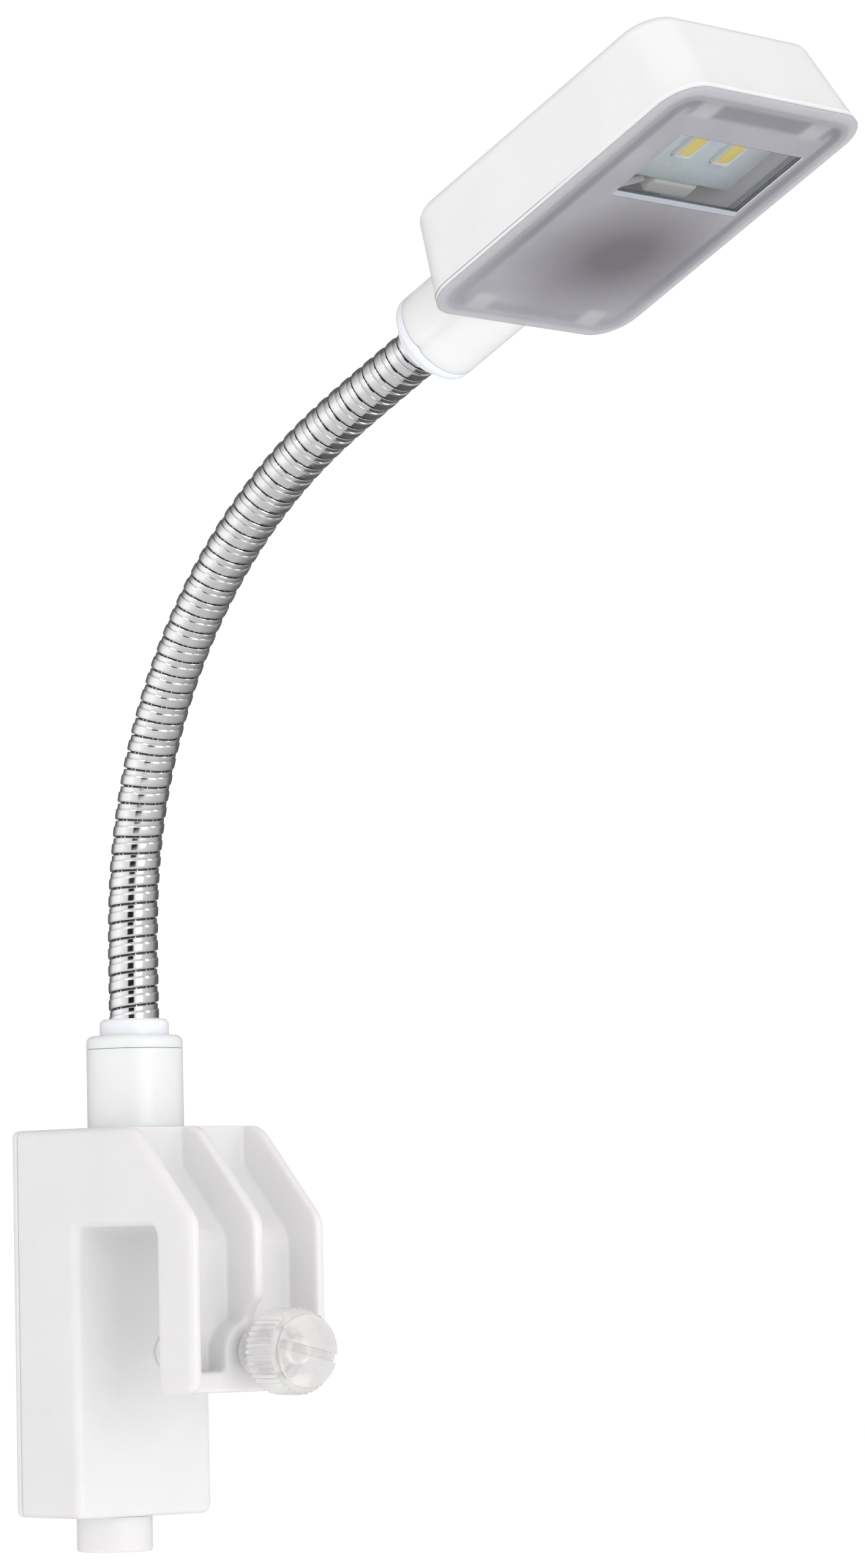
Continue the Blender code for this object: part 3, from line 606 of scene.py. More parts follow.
def phosphor():
    """Yellow phosphor in silicone, grainy and slightly domed."""
    m = Nodes("led_phosphor")
    grains = m.noise(3500.0, 3.0, 0.7)
    m.colour(m.ramp(grains, 0.0, 1.0), (0.90, 0.62, 0.04), (1.0, 0.76, 0.10))
    m.gloss(grains, 0.28, 0.45)
    m.bump(grains, 0.2, 0.00003)
    m.set(Subsurface_Weight=0.2, Subsurface_Scale=0.0004)
    return m.material


def turned_metal(name, colour, roughness):
    """Turned or rolled metal with fine tool lines and dulled spots."""
    m = Nodes(name)
    spots = m.noise(900.0, 4.0, 0.6)
    dull = tuple(c * 0.75 for c in colour)
    m.colour(m.ramp(spots, 0.0, 1.0), dull, colour)
    m.gloss(spots, roughness - 0.06, roughness + 0.1)
    m.bump(m.noise(2400.0, 2.0, 0.5, (8.0, 1.0, 1.0)), 0.25, 0.00003)
    m.set(Metallic=1.0)
    return m.material


BRACKET_WHITE = moulded("bracket_white", (0.785, 0.78, 0.785), 0.40, 0.22)
STEM_WHITE = moulded("stem_white", (0.81, 0.81, 0.815), 0.32, 0.10)
COLLAR_WHITE = moulded("collar_white", (0.84, 0.845, 0.885), 0.32, 0.08)
HOUSING_WHITE = moulded("housing_white", (0.82, 0.815, 0.815), 0.34, 0.16)
# The inside walls are the case's plastic made paler and lavender: painted light inside the case
INNER_SIDE = moulded("housing_inside_wall", (0.90, 0.87, 0.92), 0.5, 0.3, 0.0)
INNER_ROOF = inner_roof()
PART_WHITE = moulded("package_white", (0.82, 0.81, 0.78), 0.4, 0.1)
LEAD_WHITE = moulded("lead_insulation", (0.72, 0.71, 0.68), 0.5, 0.1)
CHROME = plated("hose_chrome", (0.80, 0.80, 0.81), 0.07, 0.15)
STEEL = turned_metal("bright_steel", (0.56, 0.56, 0.57), 0.28)
BRASS = turned_metal("insert_brass", (0.72, 0.52, 0.25), 0.32)
KNOB_CLEAR = clear_plastic("knob_clear", (0.955, 0.945, 0.94), 0.09, 1.3, 0.6)
WINDOW_CLEAR = clear_plastic("window_clear", (0.95, 0.96, 0.97), 0.02)
# Tinted clear plastic for the strips that paint a highlight along the window's edge
WINDOW_EDGE_HIGHLIGHT = clear_plastic("window_edge_highlight", (0.60, 0.63, 0.70), 0.12, 1.45, 0.3)
# Near-black, a painted shade in the hose's grooves
GROOVE_SHADE = turned_metal("hose_groove_shade", (0.10, 0.10, 0.11), 0.45)
LENS_FROST = frosted("lens_frost")
BOARD_MASK = board_mask()
PHOSPHOR = phosphor()


# ---- clamp

def bracket():
    """The clamp: a hollow leg and bridge, a web with three ribs, and the screw's boss."""
    front = COVER_HIGH.x + SEAM
    bend = CHAMFER_BEND * math.tan(math.radians(22.5))
    outline = [
        (front - 3, BOTTOM), (-GAP_HALF, BOTTOM), (-GAP_HALF, 0),
        *arc(GAP_HALF - 1.6, -1.6, 1.6, 90, 0, 8),
        (GAP_HALF, ARM_DROP), *arc(ARM_OUT - 2.0, ARM_DROP + 2.0, 2.0, -90, 0, 8),
        *arc(ARM_OUT - CHAMFER_BEND, TOP - CHAMFER - bend, CHAMFER_BEND, 0, 45, 10),
        *arc(ARM_OUT - CHAMFER - bend, TOP - CHAMFER_BEND, CHAMFER_BEND, 45, 90, 10),
        (front - 3, TOP),
    ]
    body = side_view("bracket", outline, -HALF, HALF)
    round_edges(body, 0.95)
    cut(body, block("behind", (front - 9, -20, -60), (front, 20, 60)))
    far = ARM_OUT + 5
    bay = [
        (WEB_TOP_X, TOP + 5), (WEB_TOP_X, WEB_SLOPE_Z),
        (WEB - 0.8, WEB_SLOPE_Z - (WEB - 0.8 - WEB_TOP_X)), (WEB, -2.2), (WEB, ARM_DROP + FLANGE),
        (BOSS_FACE, ARM_DROP + FLANGE), (BOSS_FACE, ARM_DROP - 5), (far, ARM_DROP - 5), (far, TOP + 5),
    ]
    for side in (-1, 1):
        edges = sorted((side * RIB / 2, side * (HALF - RIB)))
        cut(body, side_view(f"bay_{side}", bay, *edges))
    foot = [
        (BOSS_FACE, ARM_DROP - 5), (far, ARM_DROP - 5), (far, -8.2), (ARM_OUT, -8.2),
        *arc(ARM_OUT - 2.4, -8.2, 2.4, 0, -60, 8), (BOSS_FACE, -11.6),
    ]
    cut(body, side_view("rib_foot", foot, -RIB / 2 - 0.1, RIB / 2 + 0.1))
    boss = arc(0, 0, BOSS_RADIUS, 0, 180, 32) + [(-BOSS_RADIUS, -3.0), (BOSS_RADIUS, -3.0)]
    faces_x = Matrix(((0, 0, 1, 0), (1, 0, 0, 0), (0, 1, 0, SCREW_Z), (0, 0, 0, 1)))
    join(body, prism("boss", boss, WEB - 0.5, BOSS_FACE + 0.02, (), faces_x))
    wall = HALF - WALL
    cut(body, block("leg_hollow", (front - 3, -wall, BOTTOM + WALL), (-GAP_HALF - WALL, wall, TOP - WALL)))
    cut(body, block("bridge_hollow", (front - 3, -wall, WALL), (WEB_TOP_X - WALL, wall, TOP - WALL)))
    drill(body, [(4.1, -3), (4.1, 3)], Matrix.Translation((OUTLET_X, 0, BOTTOM)))
    drill(body, [(4.2, -3), (4.2, 3)], Matrix.Translation((STEM.x, 0, TOP)))
    drill(body, [(1.8, -5), (1.8, 25)], along_x(GAP_HALF, 0, SCREW_Z))
    drill(body, [(2.55, -4.0), (2.55, -0.9)], along_x(BOSS_FACE, 0, SCREW_Z))
    remesh(body, 0.2)

    def line(off):
        return np.exp(-(off / 0.16) ** 2)

    def edge_weight(p):
        """Everywhere a little, and fully at the outer edges of the ribs."""
        on_arm = (p[:, 0] > WEB + 1.2) | (p[:, 0] + p[:, 2] > WEB_TOP_X + WEB_SLOPE_Z + 4.5)
        return np.where(on_arm & (p[:, 0] > 3), 0.5, 0.12)

    relax(body, 24, edge_weight)

    def parting(p, n):
        """The fine lines that the mould's inserts leave."""
        x, y, z = p.T
        on_leg = x < -7
        side = np.abs(n[:, 1]) > 0.9
        inner = (n[:, 0] > 0.9) & on_leg
        level = line(z - LEG_PARTING) * (inner | (side & on_leg))
        ceiling = line(z + 0.1) * (side & (x < -7.5))
        upright = line(y) * (inner & (z > LEG_PARTING) & (z < -1.5))
        return 0.035 * level + 0.03 * ceiling + 0.04 * upright

    carve(body, parting)
    body.data.materials.append(BRACKET_WHITE)
    finish_piece(body, "clamp", "bracket_plastic", "bracket_body")


def rear_cover():
    """The plate behind the leg, and its two screws."""
    far = COVER_HIGH.x + 3
    outline = [(COVER_LOW.x, BOTTOM), (far, BOTTOM), (far, TOP), (COVER_LOW.x, TOP)]
    cover = side_view("rear_cover_plate", outline, -HALF, HALF, (BRACKET_WHITE,))
    round_edges(cover, 0.9)
    cut(cover, block("ahead", (COVER_HIGH.x, -20, -60), (far + 5, 20, 60)))
    for k in (1, 2):
        low, high = corner(f"cover_screw_{k}", False), corner(f"cover_screw_{k}", True)
        y, z = (low.y + high.y) / 2, (low.z + high.z) / 2
        drill(cover, [(2.3, -0.5), (2.3, 0.7), (1.4, 0.75), (1.4, 3)], along_x(COVER_LOW.x, y, z))
        face = along_x(COVER_LOW.x + 0.1, y, z)
        profile = [(1.2, 0.0), (1.75, 0.05), (2.0, 0.2), (2.0, 0.42), (1.0, 0.5), (0.8, 7.0), (0.2, 8.0)]
        screw = turned(f"cover_screw_head_{k}", profile, (STEEL,), 48, face, True)
        cross_recess(screw, face, 20 * k, (1.1, 0.18), -0.2, 0.42)
        finish_piece(screw, "clamp", "steel", f"cover_screw_{k}")
    round_edges(cover, 0.08, 2)
    reshade(cover, 40)
    finish_piece(cover, "clamp", "bracket_plastic", "rear_cover")


def outlet():
    """The sleeve under the leg that the lead leaves by."""
    floor = BOTTOM + WALL
    lip = OUTLET_END + 0.4
    profile = [(3.1, OUTLET_END + 0.5), (3.1, lip), *arc(3.5, lip, 0.4, 180, 270, 5),
               *arc(4.5, lip, 0.4, 270, 360, 6), (4.9, BOTTOM - 0.12), (4.75, BOTTOM - 0.04),
               (3.9, BOTTOM - 0.04), (3.9, floor + 0.1), (5.2, floor + 0.1), (5.2, floor + 1.2),
               (3.1, floor + 1.2)]
    sleeve = turned("outlet_sleeve", profile, (BRACKET_WHITE,), 96, Matrix.Translation((OUTLET_X, 0, 0)))
    finish_piece(sleeve, "clamp", "bracket_plastic", "cable_outlet")


def stem():
    """The upright tube, its cap ring and the collar that the hose starts in."""
    bore, radius, wide = BORE_RADIUS, STEM_RADIUS, COLLAR_RADIUS
    here = Matrix.Translation((STEM.x, STEM.y, 0))
    top = corner("stem_socket", True).z
    socket = [(bore, 16.0), (2.6, 16.0), (2.6, 6.4), (4.0, 6.4), (4.0, TOP + 0.04),
              (radius - 0.12, TOP + 0.04), (radius, TOP + 0.16), (radius, top - 0.1), (radius - 0.1, top),
              (bore, top)]
    tube = turned("stem_tube", socket, (STEM_WHITE,), 128, here)
    finish_piece(tube, "clamp", "stem_plastic", "stem_socket")
    ring_top = corner("stem_ring", True).z
    ring = [(bore, top + 0.05), (radius - 0.08, top + 0.05), (radius, top + 0.12),
            *arc(radius - 0.85, ring_top - 0.85, 0.85, 0, 90, 10), (bore, ring_top)]
    finish_piece(turned("stem_cap", ring, (STEM_WHITE,), 128, here), "clamp", "stem_plastic", "stem_ring")
    collar = [(bore, ring_top + 0.03), (wide, ring_top + 0.03),
              *arc(wide - 0.7, COLLAR_TOP - 0.7, 0.7, 0, 80, 10),
              (bore + 0.2, COLLAR_TOP), (bore, COLLAR_TOP - 0.2)]
    finish_piece(turned("collar_below", collar, (COLLAR_WHITE,), 96, here), "clamp", "collar_plastic",
                 "lower_collar")


# ---- gooseneck

def winding_profile():
    """One turn of the strip: (share of the pitch, radius). A wide raised band and a lower, narrower one."""
    return [
        (0.00, 2.72), (0.018, 3.05), (0.05, 3.19), (0.10, 3.235), (0.20, HOSE_RADIUS), (0.34, HOSE_RADIUS),
        (0.48, HOSE_RADIUS), (0.56, 3.24), (0.60, 3.20), (0.615, 3.12), (0.625, 3.08), (0.66, 3.10),
        (0.78, 3.105), (0.89, 3.10), (0.925, 3.05), (0.94, 2.72),
    ]


def wound_faces(count, wide, around):
    """Faces of a helix: wide rows of count points, with each turn's last row joined to the next's first."""
    index = np.arange(count * wide).reshape(count, wide)
    quads = [np.stack([index[:-1, j], index[1:, j], index[1:, j + 1], index[:-1, j + 1]], 1)
             for j in range(wide - 1)]
    last, first = index[:count - around, -1], index[around:, 0]
    quads.append(np.stack([last[:-1], last[1:], first[1:], first[:-1]], 1))
    return np.concatenate(quads)


def stretches(start, end):
    """For each joint of the hose: its number, its place, and the two ends of its stretch of the hose."""
    for k in range(NECK_JOINTS):
        centre = FIRST_JOINT + JOINT_STEP * k
        low = start if k == 0 else centre - JOINT_STEP / 2
        high = end if k == NECK_JOINTS - 1 else centre + JOINT_STEP / 2
        yield k, centre, low, high


def bend_piece(piece, k, centre):
    """Bakes a piece's placement into its mesh. The joint k is not used."""
    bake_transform(piece)


def hose():
    """The wound strip, cut into one chunk for each joint."""
    around = 56
    turns = int((HOSE_LENGTH + 4 - HOSE_START) / HOSE_PITCH)
    k = np.arange(turns * around + 1)
    turn = (2 * math.pi * k / around)[:, None]
    points, along = [], []
    for share, radius in winding_profile():
        s = (k / around + share) * HOSE_PITCH + HOSE_START
        centre, side, across = on_hose(s)
        points.append(centre + radius * (np.cos(turn) * side + np.sin(turn) * across))
        along.append(s)
    points, along = np.stack(points, 1), np.stack(along, 1)
    quads = wound_faces(*points.shape[:2], around)
    flat, middle = points.reshape(-1, 3), along.reshape(-1)[quads].mean(1)
    for k, centre, low, high in stretches(-math.inf, math.inf):
        chosen = quads[(middle >= low) & (middle < high)]
        used, packed = np.unique(chosen, return_inverse=True)
        piece = add(f"hose_{k + 1:02d}", flat[used].tolist(), packed.reshape(-1, 4).tolist(), (CHROME,),
                    sharp=28)
        bend_piece(piece, k, centre)
        nodes = [f"gooseneck_{k:02d}"] + ([f"gooseneck_{k + 1:02d}"] if k == NECK_JOINTS - 1 else [])
        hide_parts(*nodes)


def groove_shade_tubes():
    """A near-black tube under the strip that shows in the grooves between the turns: painted shade for the
    grooves.
    """
    around = 24
    turn = 2 * math.pi * np.arange(around) / around
    for k, centre, low, high in stretches(HOSE_START, HOSE_LENGTH + 3):
        rings = [[tuple(p + GROOVE_SHADE_RADIUS * (math.cos(a) * x + math.sin(a) * y)) for a in turn]
                 for p, x, y in zip(*on_hose(np.linspace(low, high, 14)))]
        bend_piece(add(f"hose_groove_shade_{k + 1:02d}", *rings_mesh(rings), (GROOVE_SHADE,)), k, centre)


# ---- thumb screw

def thumb_screw():
    """The clear knob with its ridges and slot, its threaded shank and the pad on the tip."""
    place = along_x(0, 0, SCREW_Z)
    low, high = corner("thumb_knob", False).x, corner("thumb_knob", True).x
    start, end = KNOB_START, KNOB_START + KNOB_LENGTH
    ridges, ridge_depth = 40, 0.32
    sides = ridges * 8
    r, hub, disc = KNOB_RADIUS, HUB_RADIUS, DISC_RADIUS
    profile = [(hub - 0.5, low), (hub - 0.15, low + 0.1), (hub, low + 0.35), (hub, start - 0.2),
               (hub + 0.15, start), (r - 0.5, start), (r - 0.2, start + 0.1), (r - 0.05, start + 0.3),
               (r, start + 0.6), (r, end - 0.9), (r - 0.08, end - 0.6), (r - 0.25, end - 0.45),
               (r - 0.32, end - 0.4), (r - 0.55, end - 0.12), (r - 0.75, end), (disc - 0.2, end),
               (disc - 0.28, end + 0.08), (disc - 0.2, end + 0.18), (disc - 0.04, end + 0.26),
               (disc, end + 0.36), (disc, high - 0.2), (disc - 0.07, high - 0.06), (disc - 0.22, high)]
    rings = []
    for radius, height in profile:
        ridged = start + 0.05 < height < end - 0.42
        ring = []
        for i in range(sides):
            turn = 2 * math.pi * i / sides
            wave = 0.5 - 0.5 * math.cos(turn * ridges)
            there = radius - (ridge_depth * wave ** 0.7 if ridged else 0.0)
            ring.append((there * math.cos(turn), there * math.sin(turn), height))
        rings.append(ring)
    knob = add("thumb_knob_clear", *rings_mesh(rings), (KNOB_CLEAR,), place, 50)
    drill(knob, [(1.55, 10), (1.55, start + 3.9), (1.0, start + 4.3)], place)
    slot = Matrix.Translation((0, 0, SCREW_Z)) @ Matrix.Rotation(math.radians(-13), 4, "X")
    cut(knob, block("slot", (end + 0.3, -8, -0.6), (high + 3, 8, 0.6), (), slot))
    reshade(knob, 32)
    finish_piece(knob, "screw", "clear_plastic", "thumb_knob")

    shank = thread("screw_thread", corner("screw_shank", False).x + 0.85, start + 3.8, place)
    finish_piece(shank, "screw", "clear_plastic", "screw_shank")
    face, back = corner("pressure_pad", False).x, corner("pressure_pad", True).x
    pad = [(1.9, face), (2.2, face + 0.05), (2.42, face + 0.28), (2.42, back - 0.25), (2.3, back - 0.08),
           (2.0, back), (1.3, back), (1.2, back - 0.75)]
    finish_piece(turned("pressure_pad_clear", pad, (KNOB_CLEAR,), 64, place, True), "pad", "clear_plastic",
                 "pressure_pad")


def thread(name, start, end, place):
    """An M3 shank moulded with the knob: one clear helical ridge."""
    around = 32
    crest, root = THREAD_RADII
    k = np.arange(int((end - start) / THREAD_PITCH) * around + 1)
    turn = 2 * math.pi * k / around
    rows = []
    for share, radius in [(0.0, root), (0.12, root), (0.44, crest), (0.56, crest), (0.88, root)]:
        height = start + (k / around + share) * THREAD_PITCH
        rows.append(np.stack([radius * np.cos(turn), radius * np.sin(turn), height], -1))
    points = np.stack(rows, 1)
    quads = wound_faces(*points.shape[:2], around)
    return add(name, points.reshape(-1, 3).tolist(), quads.tolist(), (KNOB_CLEAR,), place, 30)


# ---- head

def draft(n):
    """How far the case's sides lean in at height n."""
    return HEAD_DRAFT * (n - LENS_FACE) / (HEAD_BACK - LENS_FACE)


def head_rings(levels):
    """The head's outline at each (height, inset, corner radius)."""
    rings = []
    for n, inset, radius in levels:
        outline = rounded(HEAD_LENGTH - 2 * inset, HEAD_WIDTH - 2 * inset, radius, 14)
        rings.append([(HEAD_MIDDLE + x, y, n) for x, y in outline])
    return rings


def housing():
    """The white case with its neck: a fine groove above its rim, and a crowned back."""
    rim, crown, r = LENS_FACE + LENS_EDGE + SEAM, HEAD_BACK - CROWN, HEAD_CORNER
    lean = draft(rim)
    levels = [
        (rim + 0.12, lean + 0.30, r - 0.3), (rim, lean + 0.22, r - 0.2), (rim + 0.03, lean + 0.06, r),
        (rim + 0.10, lean, r), (rim + 0.32, lean, r), (rim + 0.37, lean + 0.05, r),
        (rim + 0.43, lean + 0.05, r), (rim + 0.50, lean, r),
    ]
    for k in range(1, 9):
        n = rim + 0.5 + (crown - rim - 0.5) * k / 8
        levels.append((n, draft(n), r))
    for x, z in arc(0, crown, CROWN, 8, 88, 9):
        levels.append((z, draft(crown) + (CROWN - x), r - 0.7 * (CROWN - x)))
    outside = add("head_shell", *rings_mesh(head_rings(levels)), (HOUSING_WHITE, INNER_SIDE, INNER_ROOF),
                  HEAD, 35)
    start = NECK_START
    profile = [(NECK_RADIUS - 0.25, start), (NECK_RADIUS - 0.06, start + 0.04),
               *[(NECK_RADIUS, start + 0.14 + 1.2 * k) for k in range(11)], (NECK_RADIUS, HEAD_START + 5)]
    neck = turned("neck", profile, (), 128, LYING, True)
    groove(neck)
    join(outside, neck)
    cut(outside, block("under_neck", (HEAD_START - 0.06, -12, -12), (30, 12, rim + 0.12), (), HEAD))
    roof = HEAD_BACK - HEAD_WALL
    hollow = head_rings([(rim - 2, lean + HEAD_WALL - 0.15, 3.6),
                         (roof - 0.8, draft(roof) + HEAD_WALL, 3.4),
                         (roof, draft(roof) + HEAD_WALL + 0.8, 2.8)])
    cut(outside, add("hollow", *rings_mesh(hollow), (INNER_SIDE,), HEAD))
    drill(outside, [(BORE_RADIUS, -2), (BORE_RADIUS, HEAD_START + 8)], LYING, 64)
    inner_faces(outside)
    outside.data.set_sharp_from_angle(angle=math.radians(35))
    finish_piece(outside, "head", "housing_plastic", "head_housing")


def groove(neck):
    """The neck's two halves meet in a shallow valley low on each side."""
    back = HEAD.inverted()
    for v in neck.data.vertices:
        p = back @ (v.co / MM)
        angle = math.atan2(p.z, abs(p.y))
        radius = math.hypot(p.y, p.z)
        if radius < 1:
            continue
        dip = 0.42 * math.exp(-((angle + 0.47) / 0.10) ** 2)
        scale = 1 - dip / radius
        v.co = (HEAD @ Vector((p.x, p.y * scale, p.z * scale))) * MM


def inner_faces(shell):
    """Gives the roof and the walls inside the case their own materials."""
    back = HEAD.inverted()
    turn = back.to_3x3()
    for face in shell.data.polygons:
        p = back @ (face.center / MM)
        n = turn @ face.normal
        deep = p.x > HEAD_START + 1 and p.z > LENS_FACE + LENS_EDGE + 0.4
        inward = (p.x - HEAD_MIDDLE) * n.x + p.y * n.y < -0.5
        face.material_index = 0
        if deep and p.z < HEAD_BACK - 1 and (inward or n.z < -0.5):
            face.material_index = 2 if n.z < -0.5 or p.z > 1.5 else 1


def lens():
    """The frosted cover: a thin plate with a lip, four snap tabs and the window's opening."""
    face, r = LENS_FACE, HEAD_CORNER
    top = face + 1.0
    lip = top + 1.6
    levels = [
        (face, 0.45, r - 0.4), (face + 0.03, 0.25, r - 0.2), (face + 0.12, 0.08, r), (face + 0.25, 0.0, r),
        (face + LENS_EDGE - 0.05, 0.02, r), (face + LENS_EDGE, 0.08, r), (face + LENS_EDGE, 1.5, 3.6),
        (top, 1.55, 3.5), (top, 1.95, 3.2), (lip, 2.15, 3.1), (lip, 3.05, 2.4), (top, 3.15, 2.3),
    ]
    cover = add("lens", *rings_mesh(head_rings(levels)), (LENS_FROST,), HEAD, 30)
    for k, (s, w) in enumerate((s, w) for s in TAB_S for w in (-TAB_W, TAB_W)):
        lean = 0.7 if s == TAB_S[0] else -0.7
        foot = [(s + a, w + b, top - 0.3) for a, b in ((-0.45, -2), (0.45, -2), (0.45, 2), (-0.45, 2))]
        tip = [(x - lean * 0.6, y, 0.2) for x, y, _ in foot]
        join(cover, add(f"tab_{k}", *rings_mesh([foot, tip]), (), HEAD))
    cut(cover, block("opening", (*WINDOW_LOW, face - 2), (*WINDOW_HIGH, top + 0.5), (), HEAD))
    round_edges(cover, 0.08, 2)
    reshade(cover, 30)
    cover.visible_shadow = False
    finish_piece(cover, "head", "frosted_plastic", "lens_cover")


def window():
    """The clear pane, a shallow tray whose thin rim stands up inside the cover."""

    def slab(name, grow, low, high):
        start, end = (v - grow for v in WINDOW_LOW), (v + grow for v in WINDOW_HIGH)
        return block(name, (*start, LENS_FACE + low), (*end, LENS_FACE + high), (), HEAD)

    pane = slab("window_pane", -0.05, 0.10, 0.80)
    pane.data.materials.append(WINDOW_CLEAR)
    join(pane, slab("flange", 0.5, 1.05, 1.35), slab("wall", -0.05, 0.5, 1.2))
    cut(pane, slab("well", -0.35, 0.62, 3.0))
    round_edges(pane, 0.08, 2)
    # Two tinted strips under the pane's near and right edges: a painted highlight along the window's edge
    near, far = WINDOW_LOW[0] + 0.04, WINDOW_HIGH[0] - 0.04
    left, right = WINDOW_LOW[1] + 0.04, WINDOW_HIGH[1] - 0.04
    strips = {"near": ((near, left), (near + 0.9, right)), "side": ((near + 0.95, right - 0.5), (far, right))}
    for name, (start, end) in strips.items():
        edging = block(f"window_edge_highlight_{name}", (*start, LENS_FACE + 0.02), (*end, LENS_FACE + 0.09),
                      (WINDOW_EDGE_HIGHLIGHT,), HEAD)
        finish_piece(round_edges(edging, 0.03, 2), "head", "window_plastic")
    reshade(pane, 30)
    pane.visible_shadow = False
    finish_piece(pane, "head", "window_plastic", "clear_window")


def board():
    """The board and its two screws."""
    (start, end, half), face = BOARD, BOARD_FACE
    plate = block("board_plate", (start, -half, face), (end, half, face + BOARD_THICK), (BOARD_MASK,), HEAD)
    for k, side in ((1, -1), (2, 1)):
        spot = HEAD @ Matrix.Translation((BOARD_SCREW[0], side * BOARD_SCREW[1], 0))
        drill(plate, [(1.0, face - 1), (1.0, face + 2)], spot, 32)
        profile = [(0.9, face - 0.75), (1.35, face - 0.7), (1.6, face - 0.5), (1.6, face - 0.03), (0.7, face),
                   (0.6, 2.4)]
        screw = turned(f"board_screw_head_{k}", profile, (STEEL,), 40, spot, True)
        cross_recess(screw, spot, 35 * k, (0.9, 0.14), face - 1, face - 0.4)
        finish_piece(screw, "head", "steel", f"board_screw_{k}")
    round_edges(plate, 0.06, 2)
    finish_piece(plate, "head", "board", "led_board")


def leds():
    """Three packages, each a white case with a well of phosphor, on two soldered pads."""
    top = BOARD_FACE - 0.02
    package = rounded(*LED_SIZE, 0.12, 3)
    well = rounded(*LED_WELL, 0.55, 6)
    for k in range(3):
        w = (k - 1) * LED_PITCH
        rings = [[(LED_S + x, w + y, top) for x, y in package],
                 [(LED_S + x, w + y, top - 0.55) for x, y in package],
                 [(LED_S + x * 0.985, w + y * 0.975, top - 0.6) for x, y in package]]
        case = add(f"led_package_{k + 1}", *rings_mesh(rings), (PART_WHITE,), HEAD)
        cut(case, prism("well", [(LED_S + x, w + y) for x, y in well], top - 1, top - 0.42, (), HEAD))
        finish_piece(case, "head", "led_phosphor", f"led_{k + 1}")
        gel = [[(LED_S + x * f, w + y * f, top - h) for x, y in well]
               for f, h in ((0.99, 0.40), (0.985, 0.55), (0.8, 0.575), (0.4, 0.59))]
        finish_piece(add(f"led_gel_{k + 1}", *rings_mesh(gel), (PHOSPHOR,), HEAD), "head", "led_phosphor")
        for end, s in (("near", LED_S - 2.75), ("far", LED_S + 2.75)):
            pad = block(f"led_pad_{k + 1}_{end}", (s - 0.55, w - 1.15, top - 0.10),
                        (s + 0.55, w + 1.15, top + 0.01), (STEEL,), HEAD)
            finish_piece(round_edges(pad, 0.04, 2), "head", "steel")


def connector():
    """The pale block that the lead plugs into, with a slit near its middle."""
    plug = block("wire_connector", CONNECTOR_LOW, CONNECTOR_HIGH, (PART_WHITE,), HEAD)
    round_edges(plug, 0.55)
    middle = (CONNECTOR_LOW[1] + CONNECTOR_HIGH[1]) / 2 + 1.0
    low = (CONNECTOR_LOW[0] - 1, middle - 0.12, CONNECTOR_LOW[2] - 1)
    cut(plug, block("slit", low, (CONNECTOR_LOW[0] + 0.25, middle + 0.12, CONNECTOR_HIGH[2] + 1), (), HEAD))
    plug.data.shade_smooth()
    finish_piece(plug, "head", "connector_plastic", "lead_connector")


def head_fittings():
    """The cap ring on the neck, and the collar that the hose ends in."""
    bore, r, wide = BORE_RADIUS, NECK_RADIUS, COLLAR_RADIUS
    end = NECK_START - SEAM
    ring = [(bore, end), (r - 0.25, end), (r - 0.06, end - 0.04), (r, end - 0.14),
            *arc(r - 1.1, RING_START + 1.12, 1.1, 0, -85, 10), (bore, RING_START)]
    finish_piece(turned("head_cap", ring, (COLLAR_WHITE,), 128, LYING), "head", "collar_plastic", "head_ring")
    end = RING_START - 0.03
    collar = [(bore, end), (wide, end), *arc(wide - 0.6, COLLAR_START + 0.6, 0.6, 0, -85, 8),
              (bore, COLLAR_START)]
    finish_piece(turned("collar_above", collar, (COLLAR_WHITE,), 96, LYING), "head", "collar_plastic",
                 "upper_collar")


def carried_over():
    """Materials for the CAD pieces that stay as they are."""
    finishes = {"screw_insert": BRASS, "stem_nut": STEEL}
    finishes.update({f"lead_{k:02d}": LEAD_WHITE for k in range(NECK_JOINTS + 1)})
    for node, mat in finishes.items():
        mesh = frame["nodes"][node].data
        mesh.materials.clear()
        mesh.materials.append(mat)


# ---- stage

CAMERA_PLACE = (0.6143, -0.4748, -0.0045)
CAMERA_TURN = (("Z", 49.85), ("X", 94.46), ("Z", -1.14))  # degrees, one after another
CAMERA_LENS = 138.9
FLOOR_HALF = 3000.0
FLOOR_LEVEL = -140.0
ROOM_LIGHT = 0.86
BACKDROP = 1.06
# What shiny pieces mirror at eye level: (degrees round from +X, brightness)
MIRRORED = [
    (-180, 0.15), (-165, 0.4), (-142, 1.05), (-108, 1.3), (-80, 1.0), (-65, 0.9), (-61, 0.01), (-37, 0.01),
    (-33, 1.0), (-18, 1.3), (0, 0.95), (30, 0.7), (60, 0.5), (85, 0.15), (110, 0.12), (150, 0.14),
]
# The same above and below eye level, without the dark strip
MIRRORED_BEYOND = [
    (-180, 0.18), (-155, 0.6), (-115, 1.2), (-60, 1.05), (-20, 1.05), (20, 0.85), (60, 0.6), (100, 0.22),
    (150, 0.16),
]
# How far from eye level: (height of the direction, share of the second list)
BEYOND = [(-1.0, 1.0), (-0.30, 1.0), (-0.12, 0.0), (0.14, 0.0), (0.34, 1.0), (1.0, 1.0)]
MIRRORED_HEIGHT = [(-1.0, 0.6), (-0.5, 0.7), (-0.15, 0.95), (0.2, 1.0), (0.6, 0.8), (1.0, 0.6)]


def area_light(name, place, size, strength):
    """A soft rectangular light, turned towards the middle of the lamp."""
    light = bpy.data.lights.new(name, "AREA")
    light.shape = "RECTANGLE"
    light.size, light.size_y = size
    light.energy = strength
    obj = bpy.data.objects.new(name, light)
    obj.location = place
    aim = Vector((0.02, 0.0, 0.05)) - Vector(place)
    obj.rotation_euler = aim.to_track_quat("-Z", "Y").to_euler()
    bpy.context.scene.collection.objects.link(obj)


